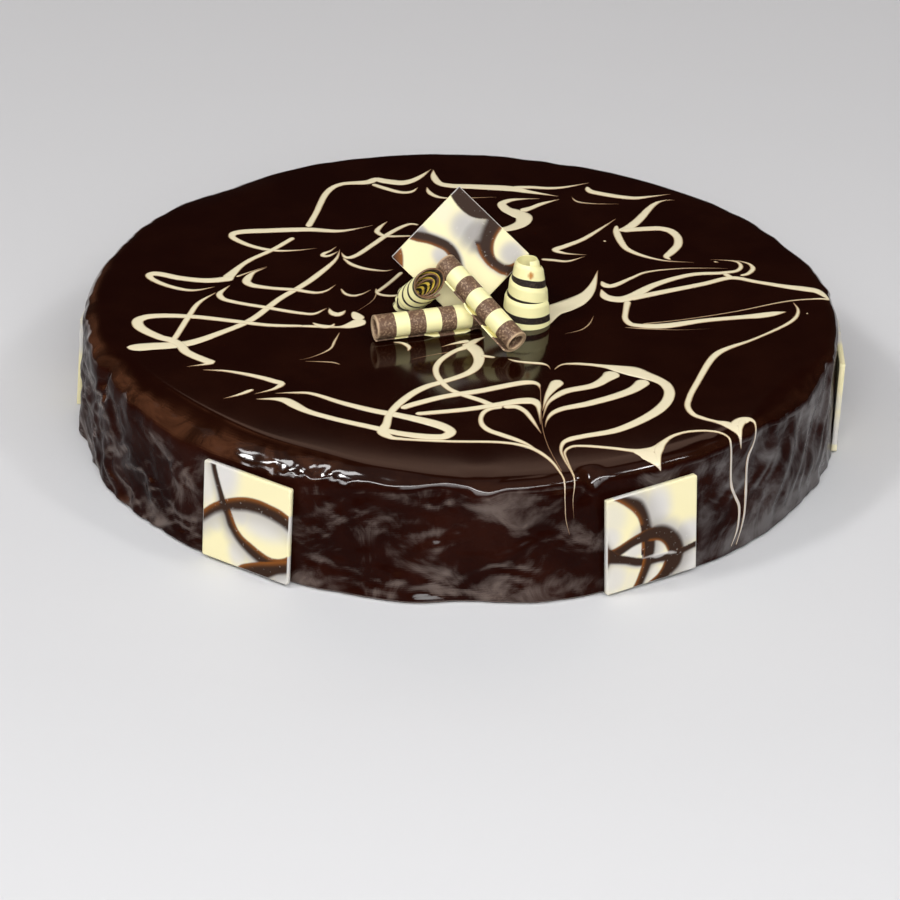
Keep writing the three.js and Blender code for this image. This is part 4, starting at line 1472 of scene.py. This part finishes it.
def rolled_sheet(name, turns, edges, radius, thickness, stripe_at, material):
    """A rolled sheet standing on its end. edges(turn) gives its lower and upper edge. The other functions
    take the turn, the height and the distance below the upper edge."""
    steps = round(turns * STEPS_PER_TURN)
    turn = np.arange(steps + 1) / STEPS_PER_TURN
    low, high = edges(turn)
    z = low + (high - low) * np.linspace(0, 1, ROLL_ROWS + 1)[:, None]
    inner = radius(turn, z, high - z)
    angle = turn * 2 * math.pi
    points = []
    for r in (inner + thickness(turn, z, high - z), inner):
        points.append(np.stack([r * np.cos(angle), r * np.sin(angle), z], axis=2).reshape(-1, 3))
    across = steps + 1
    inside = across * (ROLL_ROWS + 1)
    faces = []
    for row in range(ROLL_ROWS):
        for k in range(steps):
            a = row * across + k
            faces.append((a, a + 1, a + across + 1, a + across))
            faces.append((inside + a + 1, inside + a, inside + a + across, inside + a + across + 1))
        first, last = row * across, (row + 1) * across - 1
        for a, b in ((first, first + across), (last + across, last)):
            faces.append((a, b, inside + b, inside + a))
    top = ROLL_ROWS * across
    for k in range(steps):
        faces.append((k + 1, k, inside + k, inside + k + 1))
        faces.append((top + k, top + k + 1, inside + top + k + 1, inside + top + k))
    made = mesh_object(name, np.concatenate(points), faces, material)
    stripe = (stripe_at(turn, z, high - z) + 0 * z).reshape(-1)
    ends = np.zeros(z.shape)
    ends[[0, -1], :] = 1
    store(made, "stripe", np.tile(stripe, 2))
    store(made, "inside", np.repeat([0.0, 1.0], len(stripe)))
    store(made, "cut", np.tile(ends.reshape(-1), 2))
    edge_round = made.modifiers.new("soft edges", "BEVEL")
    edge_round.width = EDGE_ROUND * MM
    edge_round.segments = 2
    edge_round.limit_method = "ANGLE"
    return made


print("rolls have", STEPS_PER_TURN, "steps to a turn")

# %% [markdown]
# A roll is made standing at the origin, where its sums are simple, and is then laid in place: its axis on
# a line between two points, turned until its free edge faces the way it does on the cake. It could be
# rotated by three angles, but two end points are easier to read off a picture.

# %% Placing rolls
def pointing(start, end, turns, free_edge):
    """Stands a roll's own Z axis along the line from start to end, and turns it until the sheet's free edge
    faces the given way."""
    swing = Vector((0, 0, 1)).rotation_difference(end - start).to_matrix()
    facing = swing.inverted() @ Vector(free_edge)
    turn = math.atan2(facing.y, facing.x) - turns * 2 * math.pi
    return Matrix.Translation(start * MM) @ swing.to_4x4() @ Matrix.Rotation(turn, 4, "Z")


def even(thickness):
    """The same thickness all over a sheet."""
    return lambda turn, z, below: thickness + 0 * z


def put(piece, node):
    """Hands a roll over in the place of its solid."""
    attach(piece, "root")
    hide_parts(node)
    print(piece.name, len(piece.data.polygons), "faces")


print("a roll that points up:", pointing(Vector(), Vector((0, 0, 1)), 0, (1, 0, 0)).to_euler())

# %% [markdown]
# Striped chocolate: cream and dark bands laid side by side before rolling. The stored value decides the
# band. Dark bands are matte and speckled with pale bloom, cream ones are smoother, and inside a curl there
# is painted shade: its cream is painted golden and its dark bands run longer. A separate mesh for each band
# would be plain to see, but would leave seams, so one finish is made for each kind of roll by one function.

# %% Striped chocolate
STRIPE_CREAM = (0.93, 0.87, 0.46, 1)
STRIPE_DARK = (0.130, 0.070, 0.042, 1)
STRIPE_BLACK = (0.016, 0.010, 0.008, 1)
STRIPE_BLOOM = (0.52, 0.36, 0.22, 1)
STRIPE_RUST = (0.17, 0.085, 0.040, 1)
STRIPE_SPOT = (0.52, 0.20, 0.035, 1)
# painted shade: the cream inside a curl, golden as it looks in the curl's shadow
STRIPE_SHADE_GOLD = (0.90, 0.66, 0.10, 1)
STRIPE_SPECULAR = 0.3
STRIPE_WAVER = 5
BLOOM_RANGE = (0.47, 0.70)
CUT_RANGE = (0.35, 0.9)
ROUGH_CREAM_TO_DARK = (0.38, 0.55)


def striped(name, period, dark_from, dark_to, dark=STRIPE_DARK, soft=0.06, painted_shade_inside=0.0,
            cut=STRIPE_CREAM, bloom_share=0.8, inner=STRIPE_CREAM):
    """Bands that repeat every period, dark between two places in each, and for longer inside the roll."""
    material, tree, shader = finish_named(name)
    place = add(tree, "TexCoord").outputs["Object"]
    stripe = add(tree, "Attribute", attribute_name="stripe").outputs["Fac"]
    waver = add(tree, "TexNoise", {"Vector": place, "Scale": 160.0, "Detail": 2.0}).outputs["Fac"]
    either_way = math_of(tree, "SUBTRACT", waver, 0.5)
    shifted = math_of(tree, "MULTIPLY_ADD", either_way, STRIPE_WAVER * soft, stripe)
    within = math_of(tree, "FLOORED_MODULO", shifted, period)
    begun = eased(tree, within, dark_from - soft, dark_from + soft)
    inside = add(tree, "Attribute", attribute_name="inside").outputs["Fac"]
    # painted shade: dark bands run longer on the inside of a curl
    outgrown = math_of(tree, "MULTIPLY_ADD", inside, -painted_shade_inside, within)
    ended = eased(tree, outgrown, dark_to + soft, dark_to - soft)
    banded = math_of(tree, "MULTIPLY", begun, ended)
    specks = add(tree, "TexNoise", {"Vector": place, "Scale": 1300.0, "Detail": 5.0, "Roughness": 0.65})
    bloom = eased(tree, specks.outputs["Fac"], *BLOOM_RANGE, 0.0, bloom_share)
    brown = mixed(tree, bloom, dark, STRIPE_BLOOM)
    at_cut = add(tree, "Attribute", attribute_name="cut").outputs["Fac"]
    colour = mixed(tree, banded, mixed(tree, inside, STRIPE_CREAM, inner), brown)
    colour = mixed(tree, eased(tree, at_cut, *CUT_RANGE), colour, cut)
    spot = add(tree, "Attribute", attribute_name="spot").outputs["Fac"]
    tree.links.new(mixed(tree, spot, colour, STRIPE_SPOT), shader.inputs["Base Color"])
    tree.links.new(eased(tree, banded, 0, 1, *ROUGH_CREAM_TO_DARK), shader.inputs["Roughness"])
    bump = add(tree, "Bump", {"Strength": 0.15, "Distance": 0.0004, "Height": specks.outputs["Fac"]})
    tree.links.new(bump.outputs["Normal"], shader.inputs["Normal"])
    shader.inputs["Specular IOR Level"].default_value = STRIPE_SPECULAR
    return material


print("seven colours in the striped sheets")

# %% [markdown]
# A pencil is a tight roll with its bands round it. The bands aren't even, so their borders are listed, and
# the stored value counts bands. The free edge of the sheet stands off along part of its length, as a lip
# that catches the light. A cylinder with stripes would do from afar, but not beside the open ends.

# %% Pencils
PENCIL_SHEET = 0.6
PENCIL_PITCH = 0.72
PENCIL_TURNS = 1.75
LIP_TURNS = 0.16
LIP_FADE = 3.0
END_BAND = 0.12
# start, end, radius, way the free edge faces, how far it stands off, between which heights, band borders
PENCILS = {
    "pencil_lying": ((7.4, -19.95, 47.5), (-27.7, -31.7, 47.5), 4.6, (0.1, -0.35, -0.93), 0.9, (3, 20),
                     (0, 4.2, 9.7, 15.0, 20.2, 25.8, 30.4, 37.1)),
    "pencil_leaning": ((18.95, -39.6, 47.5), (-5.2, -11.1, 61.7), 4.35, (-0.795, -0.496, -0.349), 1.0,
                       (-4, 24), (0, 6.5, 12.5, 17.8, 23.1, 29.1, 34.1, 40.1)),
}
pencil_finish = striped("striped_pencil", 2, 0, 1, soft=0.02, cut=STRIPE_BLOOM)


def make_pencil(name, start, end, outer, free_edge, lip, lip_heights, borders):
    """One pencil between two points."""
    start, end = Vector(start), Vector(end)
    length = (end - start).length

    def straight(turn):
        return 0 * turn, length + 0 * turn

    def radius(turn, z, below):
        sprung = np.clip((turn - PENCIL_TURNS + LIP_TURNS) / LIP_TURNS, 0, 1)
        shown = np.clip((z - lip_heights[0]) / LIP_FADE, 0, 1)
        shown = shown * np.clip((lip_heights[1] - z) / LIP_FADE, 0, 1)
        wound = outer - PENCIL_SHEET - PENCIL_PITCH * (PENCIL_TURNS - turn)
        return wound + lip * sprung**2 * shown

    def band(turn, z, below):
        counted = np.interp(z, borders, range(len(borders)))
        return np.clip(counted, END_BAND, len(borders) - 1 - END_BAND)

    sheet = even(PENCIL_SHEET)
    pencil = rolled_sheet("striped_" + name, PENCIL_TURNS, straight, radius, sheet, band, pencil_finish)
    pencil.matrix_world = pointing(start, end, PENCIL_TURNS, free_edge)
    put(pencil, name)


for name, pencil in PENCILS.items():
    make_pencil(name, *pencil)

# %% [markdown]
# The standing curl is a ribbon whose turns have slid down and out, like a spring cone. Each turn flares,
# and thins towards its upper edge, where it hugs the turn inside it. A stack of rings would look like it,
# but the edge of a real one climbs as it winds. So how far the upper edge has fallen and how wide the
# ribbon lies are listed by turn. The stripe is measured down from the upper edge, and one amber spot
# shows near the top.

# %% Cone curl
CONE_FOOT = Vector((22.4, -12.2, 42.3))
CONE_HEIGHT = 22.8
CONE_BAND = 10.0
CONE_TURNS = 3.17
CONE_TURN = -80
CONE_SHEET = 0.6
# turn, and millimetres there
CONE_FALLEN = [(0, 0.2), (0.97, 1.0), (1.72, 7.0), (1.97, 8.2), (2.22, 10.3), (2.72, 12.9), (2.97, 13.6),
               (3.17, 14.2)]
CONE_RADII = [(0, 2.6), (0.97, 4.0), (1.97, 5.75), (2.97, 7.05), (3.17, 7.2)]
CONE_FLARES = [(0, 0.18), (1.1, 0.18), (1.7, 0.09), (3.2, 0.09)]
CONE_THIN = 1.6
CONE_EDGE = 0.25
CONE_DARK = (4.7, 7.1)
# a period so long that the dark band comes once
ONCE = 40
CONE_SPOT = (4.9, 0.05, 18.6)
CONE_SPOT_SIZE = (2.0, 0.9, 1.5)
CONE_SPOT_FADE = (0.6, 1.1)


def listed(turn, pairs):
    """A value read off a list of (turn, value) pairs."""
    return np.interp(turn, *zip(*pairs))


def cone_edges(turn):
    high = CONE_HEIGHT - listed(turn, CONE_FALLEN)
    return np.maximum(0, high - CONE_BAND), high


def cone_radius(turn, z, below):
    return listed(turn, CONE_RADII) + listed(turn, CONE_FLARES) * below


def cone_thickness(turn, z, below):
    return CONE_SHEET * np.clip(CONE_EDGE + below / CONE_THIN, 0, 1)


def down_from_edge(turn, z, below):
    return below


cone_finish = striped("striped_cone", ONCE, *CONE_DARK, STRIPE_BLACK, bloom_share=0.1)
cone = rolled_sheet("striped_cone_curl", CONE_TURNS, cone_edges, cone_radius, cone_thickness,
                    down_from_edge, cone_finish)
cone.matrix_world = Matrix.Translation(CONE_FOOT * MM) @ Matrix.Rotation(math.radians(CONE_TURN), 4, "Z")
cone_points = np.array([point.co for point in cone.data.vertices]) / MM
from_spot = np.linalg.norm((cone_points - CONE_SPOT) / CONE_SPOT_SIZE, axis=1)
store(cone, "spot", 1 - step_up(from_spot, *CONE_SPOT_FADE))
put(cone, "cone_curl")

# %% [markdown]
# The lying curl is thinner sheet, wound loosely, with its inner turns pulled back into its open mouth. Its
# inside carries painted shade: golden cream and longer dark bands. It could be a cone laid on its side, but
# a curl shaved off a block winds evenly and ends at a slant, so the same rolled sheet gets other edges: the
# upper one rises and falls once in a turn.

# %% Scroll curl
SCROLL_TIP = Vector((-20.4, -10.6, 44.8))
SCROLL_MOUTH = Vector((-9.3, -19.0, 58.8))
SCROLL_SLIDE = 3.2
SCROLL_BAND = 12.0
SCROLL_SLANT = 3.6
SCROLL_SLANT_AT = 0.25
SCROLL_DRAWN = 0.5
SCROLL_TURNS = 2.8
SCROLL_INNER = 1.3
SCROLL_PITCH = 1.22
SCROLL_SHEET = 0.55
SCROLL_FREE_EDGE = (0.66, -0.35, -0.66)
SCROLL_PERIOD = 3.1
SCROLL_DARK = (0.14, 1.0)
scroll_length = (SCROLL_MOUTH - SCROLL_TIP).length


def scroll_edges(turn):
    back = SCROLL_SLIDE * (SCROLL_TURNS - turn)
    slant = SCROLL_SLANT * np.cos((turn - SCROLL_TURNS - SCROLL_SLANT_AT) * 2 * math.pi)
    low = np.maximum(0, scroll_length - back - SCROLL_BAND)
    return low, scroll_length - back * SCROLL_DRAWN + slant


def scroll_radius(turn, z, below):
    return SCROLL_INNER + SCROLL_PITCH * turn + 0 * z


# painted shade inside the scroll: golden cream and dark bands that run longer
scroll_finish = striped("striped_scroll", SCROLL_PERIOD, *SCROLL_DARK, STRIPE_BLACK, painted_shade_inside=0.9,
                        cut=STRIPE_RUST, bloom_share=0.2, inner=STRIPE_SHADE_GOLD)
scroll = rolled_sheet("striped_scroll_curl", SCROLL_TURNS, scroll_edges, scroll_radius, even(SCROLL_SHEET),
                      down_from_edge, scroll_finish)
scroll.matrix_world = pointing(SCROLL_TIP, SCROLL_MOUTH, SCROLL_TURNS, SCROLL_FREE_EDGE)
put(scroll, "scroll_curl")
